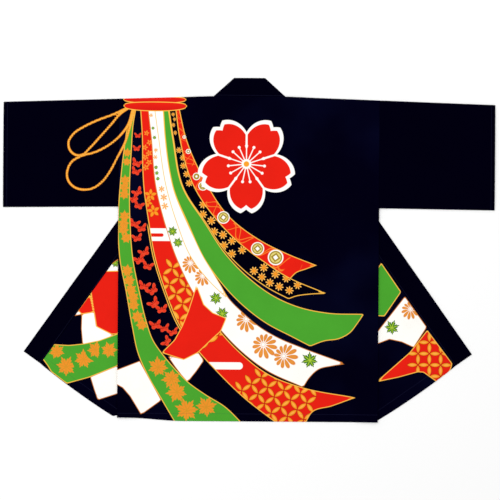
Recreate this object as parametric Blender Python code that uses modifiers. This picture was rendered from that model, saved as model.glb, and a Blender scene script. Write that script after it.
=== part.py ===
# Happi coat laid flat on its front, back upwards, with both fronts folded out past the sides.
# Metres. X runs from cuff to cuff, Y from hem to collar, Z up from the surface it lies on.
# The origin is under the middle of the coat. The wearer's left is at -X.
import math

import bpy
import numpy as np

# Cloth
CLOTH = 0.0012  # wall of one layer of cotton
BAND_CLOTH = 0.0020  # the collar band is the same cloth, doubled
SEAM = 0.0003  # gap between pieces at a seam, and between layers

# Cut, as laid out
BACK_LENGTH = 0.861  # shoulder to hem
BODY_WIDTH = 0.690
CUFF_TO_CUFF = 1.302
SHOULDER_SLOPE = 0.0333  # drop of the shoulder for each metre outwards
ARMHOLE_BOTTOM = 0.294  # below the shoulder at the neck
SLEEVE_TAPER = 0.0035  # how much lower the sleeve's lower edge is at the cuff
FRONT_WIDTH = 0.2605  # one front, without its band
BAND_WIDTH = 0.055
NECK_WIDTH = 0.1908
COLLAR_RISE = 0.049  # collar above the shoulders, behind the neck
COLLAR_TOP_WIDTH = 0.082
FRONT_HEM_RISE = 0.002  # the fronts are cut this much shorter than the back

# How the fronts are folded out
SWING = math.radians(35.3)  # turn of a front's edge from the straight
FOLD_INSET = 0.003  # at the hem the fold starts this far in from the side seam
FOLD_END = 0.008  # width of front still folded out where the fold runs out below the neck
WRAP = 0.006  # back cloth that goes over the shoulder to the underside

# Soft steps where a layer comes down off the layers below it
EDGE_REACH = (0.012, 0.050)  # past the band's outer edge
FOLD_REACH = (0.010, 0.070)  # past the fold, towards the middle of the back
SLEEVE_PUFF = 0.0012  # air between a sleeve's layers
PUFF_START = 0.050  # distance from the armhole over which the air comes in

# Grids
NEAR_COLUMNS, FAR_COLUMNS = 8, 3
LOWER_ROWS, UPPER_ROWS = 24, 3
RAMP_COLUMNS, MIDDLE_COLUMNS = 5, 2
TURN_STEPS = 6
SLEEVE_STEPS = 10
BAND_STATIONS = 8

# Places and levels worked out from those sizes
HALF_BODY = BODY_WIDTH / 2
HALF_NECK = NECK_WIDTH / 2
SEAM_X = HALF_BODY - FRONT_WIDTH  # the front's edge before it is folded out
HEM_Y = -(BACK_LENGTH + COLLAR_RISE) / 2
SHOULDER_Y = HEM_Y + BACK_LENGTH
COLLAR_TOP_Y = SHOULDER_Y + COLLAR_RISE
FRONT_HEM_Y = HEM_Y + FRONT_HEM_RISE
FRONT_LEVEL = BAND_CLOTH + SEAM  # underside of the front where it lies on its folded-out part
LAYER_STEP = CLOTH + SEAM  # from the underside of one layer to that of the next
FOLD_RADIUS = FRONT_LEVEL / 2  # of the middle of the cloth, from the front down to its folded part
SHOULDER_RADIUS = LAYER_STEP / 2
SHOULDER_EDGE = SHOULDER_RADIUS + CLOTH / 2

FOLD_START = np.array([-HALF_BODY + FOLD_INSET, FRONT_HEM_Y])
FOLD_TOP_Y = FRONT_HEM_Y + (FRONT_WIDTH - FOLD_INSET - FOLD_END) / math.tan(SWING / 2)
ALONG_FOLD = np.array([math.sin(SWING / 2), math.cos(SWING / 2)])
ACROSS_FOLD = np.array([math.cos(SWING / 2), -math.sin(SWING / 2)])
ALONG_EDGE = np.array([math.sin(SWING), math.cos(SWING)])
OUT_OF_EDGE = np.array([-math.cos(SWING), math.sin(SWING)])


def eased(value, start, end):
    """0 before start, 1 after end, and a smooth step between."""
    t = np.clip((value - start) / (end - start), 0, 1)
    return t * t * (3 - 2 * t)


def from_fold(x, y):
    """A place given as the distance along the fold and the distance across it."""
    dx, dy = x - FOLD_START[0], y - FOLD_START[1]
    return dx * ALONG_FOLD[0] + dy * ALONG_FOLD[1], dx * ACROSS_FOLD[0] + dy * ACROSS_FOLD[1]


def across_cut(across, y):
    """X of the front's cut at height y, this far across the fold."""
    return FOLD_START[0] + (across + (y - FOLD_START[1]) * ALONG_FOLD[0]) / ALONG_FOLD[1]


def folded_out(cut_x, cut_y):
    """Where a point of the front's cut lies once it is folded out, on the surface."""
    along, across = from_fold(cut_x, cut_y)
    back_over = across - math.pi * FOLD_RADIUS
    return FOLD_START + along[..., None] * ALONG_FOLD - back_over[..., None] * ACROSS_FOLD


BAND_FOOT = folded_out(np.array(-SEAM_X), np.array(FRONT_HEM_Y)) + OUT_OF_EDGE * SEAM
TIP = BAND_FOOT + OUT_OF_EDGE * BAND_WIDTH


def front_level(x, y):
    """Underside of the fronts and of the sleeves' lower layer."""
    beyond_band = (-np.abs(x) - TIP[0]) * OUT_OF_EDGE[0] + (y - TIP[1]) * OUT_OF_EDGE[1]
    return FRONT_LEVEL * (1 - eased(beyond_band, *EDGE_REACH))


def back_level(x, y):
    """Underside of the back: on top of the fronts, and down on the surface between them."""
    across = from_fold(-np.abs(x), y)[1]
    return (front_level(x, y) + LAYER_STEP) * (1 - eased(across, *FOLD_REACH))


def shoulder_y(x):
    """Height of the shoulder's fold."""
    return SHOULDER_Y - SHOULDER_SLOPE * np.maximum(np.abs(x) - HALF_NECK, 0)


def half_turn():
    """Angles of a half turn, without its two ends."""
    return np.linspace(0, math.pi, TURN_STEPS + 1)[1:-1]


def raised(x, y, z):
    """A grid of points from its three coordinates."""
    return np.stack(np.broadcast_arrays(x, y, z), axis=2)


def cloth(name, points, thickness, material, keep=None, tube=False, flipped=False):
    """A piece of cloth: a grid of points down the middle of its wall, with Solidify for the wall."""
    # a mirrored piece has its columns turned round too, as in the back, so that layers lie alike
    if flipped:
        points = points[:, ::-1]
        keep = keep[:, ::-1]
    rows, columns = points.shape[:2]
    index = np.arange(rows * columns).reshape(rows, columns)
    right = np.roll(index, -1, axis=1) if tube else index[:, 1:]
    left = index if tube else index[:, :-1]
    corners = (left[:-1], right[:-1], right[1:], left[1:])
    faces = np.stack([c.reshape(-1) for c in corners], axis=1)
    if keep is not None:
        faces = faces[keep.reshape(-1)]
    used = np.unique(faces)
    renumber = np.zeros(rows * columns, int)
    renumber[used] = np.arange(len(used))
    mesh = bpy.data.meshes.new(name)
    mesh.from_pydata(points.reshape(-1, 3)[used].tolist(), [], renumber[faces].tolist())
    mesh.materials.append(material)
    piece = bpy.data.objects.new(name, mesh)
    coat.objects.link(piece)
    wall = piece.modifiers.new("wall", "SOLIDIFY")
    wall.thickness = thickness
    wall.offset = 0
    return piece


def dyed_cotton(name, colour):
    """A plain dyed cotton."""
    material = bpy.data.materials.new(name)
    material.use_nodes = True
    shader = material.node_tree.nodes["Principled BSDF"]
    shader.inputs["Base Color"].default_value = (*colour, 1)
    shader.inputs["Roughness"].default_value = 0.85
    shader.inputs["Metallic"].default_value = 0
    return material


def front_plan():
    """Rows of places on the wearer's left front, from its side seam in to the fold, hem to shoulder."""
    share = np.linspace(0, 1, NEAR_COLUMNS + 1)
    y = np.linspace(FRONT_HEM_Y, FOLD_TOP_Y, LOWER_ROWS + 1)[:, None]
    x = -HALF_BODY + share * (across_cut(0, y) + HALF_BODY)
    y = np.broadcast_to(y, x.shape)
    # above the fold's end the front's own edge goes on to the neck
    up = np.linspace(0, 1, UPPER_ROWS + 1)[1:, None]
    top_x = -HALF_BODY + share * (HALF_BODY - HALF_NECK)
    top_y = shoulder_y(top_x) - SHOULDER_EDGE - WRAP - SEAM
    start_x = -HALF_BODY + share * FRONT_WIDTH
    upper_x = start_x + up * (top_x - start_x)
    upper_y = FOLD_TOP_Y + up * (top_y - FOLD_TOP_Y)
    return np.concatenate([x, upper_x]), np.concatenate([y, upper_y])


def make_back(material):
    """The back, from the hem up and over the shoulders."""
    x, y = front_plan()
    x = np.concatenate([x[:1], x, x[-1:]])
    shoulder = shoulder_y(x[-1:]) - SHOULDER_EDGE
    y = np.concatenate([np.full_like(y[:1], HEM_Y), y, shoulder])

    # from the fold to the middle, in steps down to the surface and then flat
    ramp = np.linspace(*FOLD_REACH, RAMP_COLUMNS) / ACROSS_FOLD[0]
    ramp_x = x[:, -1:] + ramp
    middle_x = ramp_x[:, -1:] * (1 - np.linspace(0, 1, MIDDLE_COLUMNS + 1)[1:])
    inner_x = np.concatenate([ramp_x, middle_x], axis=1)
    inner_y = np.repeat(y[:, -1:], inner_x.shape[1], axis=1)
    inner_y[-1] = SHOULDER_Y
    x = np.concatenate([x, inner_x], axis=1)
    y = np.concatenate([y, inner_y], axis=1)
    flat = raised(x, y, back_level(x, y) + CLOTH / 2)

    angle = half_turn()[:, None]
    top = flat[-1]
    round_y = top[:, 1] + SHOULDER_RADIUS * np.sin(angle)
    round_z = top[:, 2] - SHOULDER_RADIUS * (1 - np.cos(angle))
    over = raised(top[:, 0], round_y, round_z)
    under_y = top[:, 1] - np.array([0, WRAP])[:, None]
    under = raised(top[:, 0], under_y, front_level(top[:, 0], under_y) + CLOTH / 2)

    half = np.concatenate([flat, over, under])
    other = half[:, -2::-1] * np.array([-1, 1, 1])
    points = np.concatenate([half, other], axis=1)
    keep = np.ones((points.shape[0] - 1, points.shape[1] - 1), bool)
    keep[len(flat) - 1 :, NEAR_COLUMNS:-NEAR_COLUMNS] = False
    return cloth("back", points, CLOTH, material, keep)


def make_front(name, side, material):
    """One front: from the side seam in to the fold, round it, and out again to the band."""
    x, y = front_plan()
    near = raised(x, y, front_level(x, y) + CLOTH / 2)
    rows = y[: LOWER_ROWS + 1, :1]

    turned = half_turn() * FOLD_RADIUS
    along = from_fold(across_cut(turned, rows), rows)[0]
    out = FOLD_RADIUS * np.sin(turned / FOLD_RADIUS)
    place = FOLD_START + along[..., None] * ALONG_FOLD + out[:, None] * ACROSS_FOLD
    height = CLOTH / 2 + FOLD_RADIUS * (1 + np.cos(turned / FOLD_RADIUS))
    bend = raised(place[..., 0], place[..., 1], height)

    first_x = across_cut(math.pi * FOLD_RADIUS, rows)
    cut_x = first_x + np.linspace(0, 1, FAR_COLUMNS + 1) * (-SEAM_X - first_x)
    place = folded_out(cut_x, rows)
    far = raised(place[..., 0], place[..., 1], CLOTH / 2)

    lower = np.concatenate([near[: LOWER_ROWS + 1], bend, far], axis=1)
    spare = lower.shape[1] - near.shape[1]
    upper = near[LOWER_ROWS + 1 :]
    upper = np.concatenate([upper, np.repeat(upper[:, -1:], spare, axis=1)], axis=1)
    points = np.concatenate([lower, upper])
    keep = np.ones((points.shape[0] - 1, points.shape[1] - 1), bool)
    keep[LOWER_ROWS:, NEAR_COLUMNS:] = False
    return cloth(name, points * np.array([side, 1, 1]), CLOTH, material, keep, flipped=side < 0)


def make_sleeve(name, side, material):
    """One sleeve: a flattened tube, folded at the shoulder and seamed below."""
    length = CUFF_TO_CUFF / 2 - HALF_BODY - SEAM
    near = np.linspace(0, PUFF_START, 5)
    out = np.concatenate([near, np.linspace(PUFF_START, length, 6)[1:]])[:, None]
    x = -HALF_BODY - SEAM - out
    top = shoulder_y(x) - SHOULDER_EDGE
    bottom = SHOULDER_Y - ARMHOLE_BOTTOM - SLEEVE_TAPER * out / length + SHOULDER_EDGE
    share = np.linspace(0, 1, SLEEVE_STEPS + 1)
    y = bottom + share * (top - bottom)
    puff = SLEEVE_PUFF * eased(out, 0, PUFF_START) * np.sin(math.pi * share) ** 0.8
    lower = front_level(x, y) + CLOTH / 2
    upper = lower + LAYER_STEP + puff

    angle = half_turn()
    top_y = top + SHOULDER_RADIUS * np.sin(angle)
    top_z = upper[:, -1:] - SHOULDER_RADIUS * (1 - np.cos(angle))
    low_y = bottom - SHOULDER_RADIUS * np.sin(angle)
    low_z = lower[:, :1] + SHOULDER_RADIUS * (1 - np.cos(angle))
    ring_y = np.concatenate([y, top_y, y[:, ::-1], low_y], axis=1)
    ring_z = np.concatenate([upper, top_z, lower[:, ::-1], low_z], axis=1)
    points = raised(x, ring_y, ring_z) * np.array([side, 1, 1])
    return cloth(name, points, CLOTH, material, tube=True)


def make_collar(material):
    """The collar band, flat throughout: up one front's edge, behind the neck, down the other."""
    neck_corner = np.array([-HALF_NECK, SHOULDER_Y])
    top_corner = np.array([-COLLAR_TOP_WIDTH / 2, COLLAR_TOP_Y])
    seam_y = SHOULDER_Y + SEAM

    # the free edge turns where the line of the collar's side meets the band's outer edge
    lines = np.stack([ALONG_EDGE, neck_corner - top_corner], axis=1)
    run = np.linalg.solve(lines, neck_corner - TIP)[0]
    free_turn = TIP + run * ALONG_EDGE
    # the sewn edge turns where it reaches the back's neckline
    sewn_turn = BAND_FOOT + ALONG_EDGE * (seam_y - BAND_FOOT[1]) / ALONG_EDGE[1]

    share = np.linspace(0, 1, BAND_STATIONS + 1)[:, None]
    free = [TIP + share * (free_turn - TIP)]
    sewn = [free[0] - BAND_WIDTH * OUT_OF_EDGE]
    share = np.linspace(0, 1, 5)[1:, None]
    free.append(free_turn + share * 0.8 * (top_corner - free_turn))
    sewn.append(sewn[0][-1] + share * (sewn_turn - sewn[0][-1]))
    free.append(top_corner[None])
    sewn.append(np.array([[top_corner[0] / 2 + sewn_turn[0] / 2, seam_y]]))
    free, sewn = np.concatenate(free), np.concatenate(sewn)

    across = np.linspace(0, 1, 3)[:, None]
    plan = free[:, None] + across * (sewn - free)[:, None]
    middle = np.stack([np.zeros(3), plan[-1, :, 1]], axis=1)[None]
    plan = np.concatenate([plan, middle, plan[::-1] * np.array([-1, 1])])
    points = raised(plan[..., 0], plan[..., 1], BAND_CLOTH / 2)
    return cloth("collar", points, BAND_CLOTH, material)


for old in list(bpy.data.objects):
    bpy.data.objects.remove(old)

coat = bpy.data.collections.new("happi_coat")
bpy.context.scene.collection.children.link(coat)

navy = dyed_cotton("navy_cotton", (0.008, 0.009, 0.030))
band_navy = dyed_cotton("band_cotton", (0.010, 0.011, 0.034))

make_back(navy)
for side, word in ((1, "left"), (-1, "right")):
    make_front("front_" + word, side, navy)
    make_sleeve("sleeve_" + word, side, navy)
make_collar(band_navy)
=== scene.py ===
import math

import bpy
import numpy as np
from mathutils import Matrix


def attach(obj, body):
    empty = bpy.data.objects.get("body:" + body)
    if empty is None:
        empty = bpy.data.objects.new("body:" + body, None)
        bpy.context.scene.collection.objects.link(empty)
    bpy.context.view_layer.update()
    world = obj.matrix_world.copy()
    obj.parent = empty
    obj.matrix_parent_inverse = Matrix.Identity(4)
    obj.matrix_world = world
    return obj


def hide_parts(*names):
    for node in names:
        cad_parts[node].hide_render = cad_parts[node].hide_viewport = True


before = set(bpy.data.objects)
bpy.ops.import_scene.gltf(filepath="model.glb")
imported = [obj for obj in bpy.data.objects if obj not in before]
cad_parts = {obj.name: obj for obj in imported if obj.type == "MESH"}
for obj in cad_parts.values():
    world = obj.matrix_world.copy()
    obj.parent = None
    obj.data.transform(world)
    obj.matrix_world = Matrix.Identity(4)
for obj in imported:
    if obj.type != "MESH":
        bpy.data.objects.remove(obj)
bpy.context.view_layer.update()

# Happi coat laid flat, back upwards. Metres: X from cuff to cuff, Y from hem to collar, Z up.
cut = {
    "cloth": 0.0012,  # wall of one layer
    "band": 0.0020,  # wall of the doubled collar band
    "gap": 0.0003,  # between pieces and between layers
    "backLength": 0.861,
    "bodyWidth": 0.690,
    "span": 1.302,
    "shoulderSlope": 0.0333,
    "armholeBottom": 0.294,
    "sleeveTaper": 0.0035,
    "frontWidth": 0.2605,
    "bandWidth": 0.055,
    "bandLength": 1.85,  # along its middle, from one tip to the other
    "neckWidth": 0.1908,
    "collarRise": 0.049,
    "collarTopWidth": 0.082,
    "frontHemRise": 0.002,
    "swing": math.radians(35.3),
    "foldInset": 0.003,
    "foldEnd": 0.008,
    "wrap": 0.006,
    "edgeReach": (0.012, 0.050),
    "foldReach": (0.010, 0.070),
    "sleevePuff": 0.0012,
    "puffStart": 0.050,
}

halfBody = cut["bodyWidth"] / 2
halfNeck = cut["neckWidth"] / 2
frontSeamX = halfBody - cut["frontWidth"]
hemY = -(cut["backLength"] + cut["collarRise"]) / 2
shoulderTop = hemY + cut["backLength"]
collarTop = shoulderTop + cut["collarRise"]
frontHemY = hemY + cut["frontHemRise"]
frontLevel = cut["band"] + cut["gap"]
layerStep = cut["cloth"] + cut["gap"]
foldRadius = frontLevel / 2
shoulderRadius = layerStep / 2
shoulderEdge = shoulderRadius + cut["cloth"] / 2
halfSwing = cut["swing"] / 2
foldStart = np.array([-halfBody + cut["foldInset"], frontHemY])
foldTopY = frontHemY + (cut["frontWidth"] - cut["foldInset"] - cut["foldEnd"]) / math.tan(halfSwing)
alongFold = np.array([math.sin(halfSwing), math.cos(halfSwing)])
acrossFold = np.array([math.cos(halfSwing), -math.sin(halfSwing)])
alongEdge = np.array([math.sin(cut["swing"]), math.cos(cut["swing"])])
outOfEdge = np.array([-math.cos(cut["swing"]), math.sin(cut["swing"])])


def eased(value, start, end):
    # 0 before start, 1 after end, and the cubic 3t^2 - 2t^3 between
    t = np.clip((value - start) / (end - start), 0, 1)
    return t * t * (3 - 2 * t)


def fromFold(x, y):
    # a place as its distance along the fold and its distance across it
    dx, dy = x - foldStart[0], y - foldStart[1]
    return dx * alongFold[0] + dy * alongFold[1], dx * acrossFold[0] + dy * acrossFold[1]


def acrossCut(across, y):
    # x of the front's cut at height y, this far across the fold
    return foldStart[0] + (across + (y - foldStart[1]) * alongFold[0]) / alongFold[1]


def foldedOut(cutX, cutY):
    # where a point of the front's cut lies once it is folded out
    along, across = fromFold(cutX, cutY)
    backOver = across - math.pi * foldRadius
    return foldStart + along[..., None] * alongFold - backOver[..., None] * acrossFold


bandFoot = foldedOut(np.array(-frontSeamX), np.array(frontHemY)) + outOfEdge * cut["gap"]
bandTip = bandFoot + outOfEdge * cut["bandWidth"]


def bandPlace(x, y):
    # run up the band from its foot, and distance out past the edge that is sewn to the front
    dx, dy = -abs(x) - float(bandFoot[0]), y - float(bandFoot[1])
    return (dx * float(alongEdge[0]) + dy * float(alongEdge[1]),
            dx * float(outOfEdge[0]) + dy * float(outOfEdge[1]))


def levelOfFront(x, y):
    # underside of the fronts: over the band, and eased down to the floor beyond its outer edge
    return frontLevel * (1 - eased(bandPlace(x, y)[1] - cut["bandWidth"], *cut["edgeReach"]))


def levelOfBack(x, y):
    # underside of the back: over the fronts, and eased down to the floor past their folds
    across = fromFold(-np.abs(x), y)[1]
    return (levelOfFront(x, y) + layerStep) * (1 - eased(across, *cut["foldReach"]))


def shoulderY(x):
    return shoulderTop - cut["shoulderSlope"] * np.maximum(np.abs(x) - halfNeck, 0)


# Soft creases: where they run, how wide and high they stand, and how far they reach
creases = {
    "wander": 0.12,  # how far a crease strays from its line, in half widths
    "back": [  # start x, start y, end x, end y, half width, height, in centimetres
        (-31, 13, -17, 19, 2.4, 0.16),
        (31, 14, 15, 21, 2.8, 0.18),
        (-20, -44, -17, -20, 2.2, 0.14),
        (21, -44, 24, -12, 2.6, 0.16),
        (4, -44, 2, -26, 2.0, 0.11),
        (-9, 36, -13, 22, 1.8, 0.10),
        (12, 37, 17, 26, 2.0, 0.11),
        (-33, 34, -24, 38, 1.5, 0.10),
    ],
    "front": [
        (-38, -36, -46, -24, 2.2, 0.14),
        (-37, -20, -42, -12, 1.8, 0.10),
        (-52, -30, -44, -36, 1.6, 0.10),
    ],
    "sleeve": [
        (-37, 14, -47, 20, 2.2, 0.16),
        (-36, 24, -50, 27, 2.6, 0.18),
        (-38, 36, -56, 33, 2.0, 0.13),
        (-52, 13, -60, 24, 2.2, 0.14),
    ],
    "collar": [
        (-1, 41, 1, 45, 1.6, 0.08),
        (-48, -12, -44, -9, 2.0, 0.08),
        (46, -11, 50, -15, 2.2, 0.08),
    ],
}


def creaseHeight(table, x, y):
    # each crease is a bell across its line, faded towards both of the line's ends
    total = np.zeros(np.broadcast(x, y).shape)
    for x0, y0, x1, y1, width, height in np.array(table) / 100:
        dx, dy = x1 - x0, y1 - y0
        length = math.hypot(dx, dy)
        along = ((x - x0) * dx + (y - y0) * dy) / length
        across = ((y - y0) * dx - (x - x0) * dy) / length
        across = across + creases["wander"] * width * np.sin(along / width)
        bell = np.exp(-((across / width) ** 2))
        total = total + height * bell * eased(along, -width, width) * eased(length - along, -width, width)
    return total


corner = {
    "rise": 0.0085,  # the hem's corner at the wearer's left lies drawn up a little
    "across": (0.17, 0.33, 0.345, 0.358),
    "up": 0.16,
}


def drawnUp(points):
    # y + rise * (1 at the corner, eased to 0 along the hem both ways and up the coat)
    x, y = points[..., 0], points[..., 1]
    start, full, stay, end = corner["across"]
    share = eased(-x, start, full) * (1 - eased(-x, stay, end)) * (1 - eased(y - hemY, 0, corner["up"]))
    return points + np.stack([0 * x, corner["rise"] * share, 0 * x], axis=-1)


hems = {
    "body": 0.020,  # depth of the turned-up hem
    "cuff": 0.010,
    "band": 0.003,  # stitches beside the collar band's seam
    "height": 0.0005,  # the turned-up cloth under it lifts the hem
    "stitch": 0.0004,  # and the row of stitches draws it in
    "soft": 0.004,  # half the width of the step, and of the groove at the stitches
}


def hemHeight(away, depth):
    # away is the distance from the edge: a low step as deep as the hem, with a groove at its stitches
    step = 1 - eased(away, depth - hems["soft"], depth + hems["soft"])
    groove = np.exp(-(((away - depth) / hems["soft"]) ** 2))
    return np.maximum(hems["height"] * step - hems["stitch"] * groove, 0)


# Mesh code

def gridNormals(points, tube):
    # cross product of the steps along the two directions of the grid
    if tube:
        wrapped = np.concatenate([points[:, -1:], points, points[:, :1]], axis=1)
        acrossStep = (wrapped[:, 2:] - wrapped[:, :-2]) / 2
    else:
        acrossStep = np.gradient(points, axis=1)
    normal = np.cross(acrossStep, np.gradient(points, axis=0))
    return normal / np.maximum(np.linalg.norm(normal, axis=2, keepdims=True), 1e-12)


shell = {
    "rim": 0.35,  # how far the edges of both faces draw in, in thicknesses
}


def clothShell(name, middle, thickness, keep=None, tube=False, rightSide=1, doubled=False, mirror=False,
               fields=None):
    # The middle of the wall is a grid of points; its two faces stand half a thickness to either side,
    # and a strip with one rounded row in its middle closes every open edge.
    rows, columns = middle.shape[:2]
    count = rows * columns
    index = np.arange(count).reshape(rows, columns)
    right = np.roll(index, -1, axis=1) if tube else index[:, 1:]
    left = index if tube else index[:, :-1]
    cells = np.stack([c.reshape(-1) for c in (left[:-1], right[:-1], right[1:], left[1:])], axis=1)
    if keep is not None:
        cells = cells[keep.reshape(-1)]
    used = np.unique(cells)
    renumber = np.zeros(count, int)
    renumber[used] = np.arange(len(used))
    cells = renumber[cells]
    middlePoints = middle.reshape(-1, 3)[used]
    normal = gridNormals(middle, tube).reshape(-1, 3)[used] * (thickness / 2)
    size = len(used)

    edges = np.concatenate([cells[:, [0, 1]], cells[:, [1, 2]], cells[:, [2, 3]], cells[:, [3, 0]]])
    key = edges.min(axis=1) * size + edges.max(axis=1)
    first, times = np.unique(key, return_index=True, return_counts=True)[1:]
    rim = edges[first[times == 1]]
    rimPoints = np.unique(rim)
    outward = np.zeros((size, 3))
    step = middlePoints[rim[:, 1]] - middlePoints[rim[:, 0]]
    sideways = np.cross(step, normal[rim[:, 0]])
    sideways /= np.maximum(np.linalg.norm(sideways, axis=1, keepdims=True), 1e-12)
    np.add.at(outward, rim[:, 0], sideways)
    np.add.at(outward, rim[:, 1], sideways)
    outward = outward[rimPoints]
    outward /= np.maximum(np.linalg.norm(outward, axis=1, keepdims=True), 1e-12)
    softness = thickness * shell["rim"]
    upper = middlePoints + normal
    lower = middlePoints - normal
    upper[rimPoints] -= outward * softness
    lower[rimPoints] -= outward * softness
    rimNumber = np.zeros(size, int)
    rimNumber[rimPoints] = np.arange(len(rimPoints)) + 2 * size
    vertices = np.concatenate([upper, lower, middlePoints[rimPoints]])
    faces = np.concatenate([
        cells,
        cells[:, ::-1] + size,
        np.stack([rim[:, 1], rim[:, 0], rimNumber[rim[:, 0]], rimNumber[rim[:, 1]]], axis=1),
        np.stack([rimNumber[rim[:, 1]], rimNumber[rim[:, 0]], rim[:, 0] + size, rim[:, 1] + size], axis=1),
    ])
    upperShown = 1.0 if rightSide > 0 else 0.0
    shown = np.repeat([upperShown, 1 - upperShown, 0.5], [size, size, len(rimPoints)])
    if doubled:
        shown[:] = 1
    if mirror:
        vertices = vertices * np.array([-1, 1, 1])
        faces = faces[:, ::-1]

    mesh = bpy.data.meshes.new(name)
    mesh.vertices.add(len(vertices))
    mesh.vertices.foreach_set("co", vertices.astype(np.float32).reshape(-1))
    mesh.loops.add(faces.size)
    mesh.loops.foreach_set("vertex_index", faces.reshape(-1).astype(np.int32))
    mesh.polygons.add(len(faces))
    mesh.polygons.foreach_set("loop_start", np.arange(0, faces.size, 4, dtype=np.int32))
    mesh.update(calc_edges=True)
    mesh.shade_smooth()
    store(mesh, "rightSide", shown)
    if fields is not None:
        for fieldName, values in fields(vertices[:, 0], vertices[:, 1]).items():
            store(mesh, fieldName, values)
    if mesh.validate():
        raise ValueError(name + " has a faulty mesh")
    piece = bpy.data.objects.new(name, mesh)
    bpy.context.scene.collection.objects.link(piece)
    return piece


def store(mesh, name, values):
    # one number or one vector for each vertex
    values = np.asarray(values, np.float32)
    if values.ndim == 1:
        mesh.attributes.new(name, "FLOAT", "POINT").data.foreach_set("value", values)
    else:
        mesh.attributes.new(name, "FLOAT_VECTOR", "POINT").data.foreach_set("vector", values.reshape(-1))


def raised(x, y, z):
    return np.stack(np.broadcast_arrays(x, y, z), axis=2)


# The printed bundle of ribbons, drawn with given curves in centimetres on the laid-out coat.
# Edge curves run down from the knot; each ribbon lies between two of them, and ends at a third.
edgeCurves = {
    "leafLeft": [(-30.7, 37.1), (-32.1, 32.8), (-33.1, 26.3), (-34.1, 16.6), (-34.5, 7.0), (-34.0, -2.6),
                 (-32.3, -11.2), (-30.6, -20.5), (-29.0, -27.6), (-26.1, -34.0), (-22.7, -39.8), (-19.0, -46.0)],
    "leafRight": [(-30.1, 37.1), (-30.8, 32.8), (-31.2, 26.3), (-31.6, 16.6), (-31.4, 7.0), (-30.6, -2.6),
                  (-28.9, -11.0), (-26.8, -19.6), (-25.2, -24.0), (-22.8, -27.6), (-19.0, -32.0),
                  (-15.8, -35.2), (-11.3, -38.4), (-5.8, -41.8), (-1.4, -46.0)],
    "fanLeft": [(-28.8, 37.1), (-28.3, 29.5), (-28.1, 21.1), (-27.8, 16.6), (-26.4, 7.0), (-24.6, -2.6),
                (-21.9, -11.0), (-17.9, -20.5), (-13.1, -26.9), (-8.2, -32.2), (-0.9, -39.2), (8.0, -46.0)],
    "fanRight": [(-26.8, 37.1), (-25.9, 29.5), (-24.6, 16.6), (-22.2, 7.0), (-18.9, -2.6), (-15.0, -10.6),
                 (-11.2, -16.4), (-7.0, -22.2), (-1.2, -28.1), (5.4, -33.0), (13.6, -36.2), (28.3, -39.0)],
    "snowLeft": [(-26.8, 37.1), (-25.9, 29.5), (-24.6, 16.6), (-22.2, 7.0), (-18.9, -2.6), (-15.0, -10.6),
                 (-11.2, -16.2), (-7.2, -21.3), (-1.5, -27.1), (5.0, -31.9), (14.7, -36.3)],
    "snowRight": [(-22.9, 37.1), (-22.3, 29.5), (-20.9, 19.8), (-20.0, 16.0), (-16.3, 7.0), (-11.8, -2.0),
                  (-7.7, -8.9), (-5.2, -12.9), (-1.2, -16.9), (3.0, -20.4), (7.8, -23.2), (14.6, -26.0),
                  (25.8, -30.0)],
    "plainLeft": [(-25.1, 37.1), (-24.0, 29.5), (-21.9, 16.6), (-19.0, 7.0), (-15.0, -2.4), (-10.4, -8.3),
                  (-5.6, -12.9)],
    "mossLeft": [(-22.8, 37.1), (-22.2, 29.5), (-20.8, 19.8), (-19.9, 16.0), (-16.1, 7.0), (-11.2, -3.2),
                 (-6.6, -9.4), (-1.4, -14.7), (5.0, -19.5), (11.6, -22.9), (16.5, -25.4)],
    "mossRight": [(-21.5, 37.1), (-20.3, 29.5), (-17.4, 16.0), (-11.6, 7.0), (-6.1, -1.2), (0.2, -7.6),
                  (6.6, -12.2), (13.6, -15.2), (20.6, -16.6), (30.5, -16.9)],
    "nightLeft": [(-21.3, 37.1), (-20.1, 29.5), (-17.2, 16.0), (-11.4, 7.2), (-5.9, -0.7), (0.5, -6.8),
                  (5.8, -10.4), (10.7, -12.9)],
    "nightRight": [(-19.5, 37.1), (-18.4, 29.5), (-14.5, 16.6), (-7.7, 7.0), (-1.4, 0.9), (4.5, -3.4),
                   (9.9, -6.9), (20.4, -11.4)],
    "coinRight": [(-18.6, 37.1), (-16.8, 29.5), (-11.6, 18.0), (-5.5, 9.0), (3.2, 2.4), (10.6, -1.2),
                  (17.8, -4.0)],
    "fanEnd": [(28.3, -39.0), (22.3, -41.2), (17.2, -42.8), (15.2, -46.0)],
    "snowEnd": [(25.8, -30.0), (22.3, -30.6), (18.8, -31.5), (16.4, -33.7), (14.7, -36.3)],
    "plainEnd": [(-5.2, -12.4), (-5.8, -13.2)],
    "mossEnd": [(30.5, -16.9), (28.9, -19.3), (26.9, -21.8), (24.2, -23.3), (20.2, -24.0), (16.5, -25.4)],
    "nightEnd": [(20.4, -11.4), (15.7, -11.7), (12.6, -12.2), (10.7, -12.9)],
    "coinEnd": [(17.8, -4.0), (15.2, -5.0), (12.6, -6.0), (11.2, -7.4)],
}

ribbons = {  # name: left edge, right edge, end
    "leaf": ("leafLeft", "leafRight", None),
    "moth": ("leafRight", "fanLeft", None),
    "fan": ("fanLeft", "fanRight", "fanEnd"),
    "snow": ("snowLeft", "snowRight", "snowEnd"),
    "plain": ("plainLeft", "snowRight", "plainEnd"),
    "moss": ("mossLeft", "mossRight", "mossEnd"),
    "night": ("nightLeft", "nightRight", "nightEnd"),
    "coin": ("nightRight", "coinRight", "coinEnd"),
}

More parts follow.
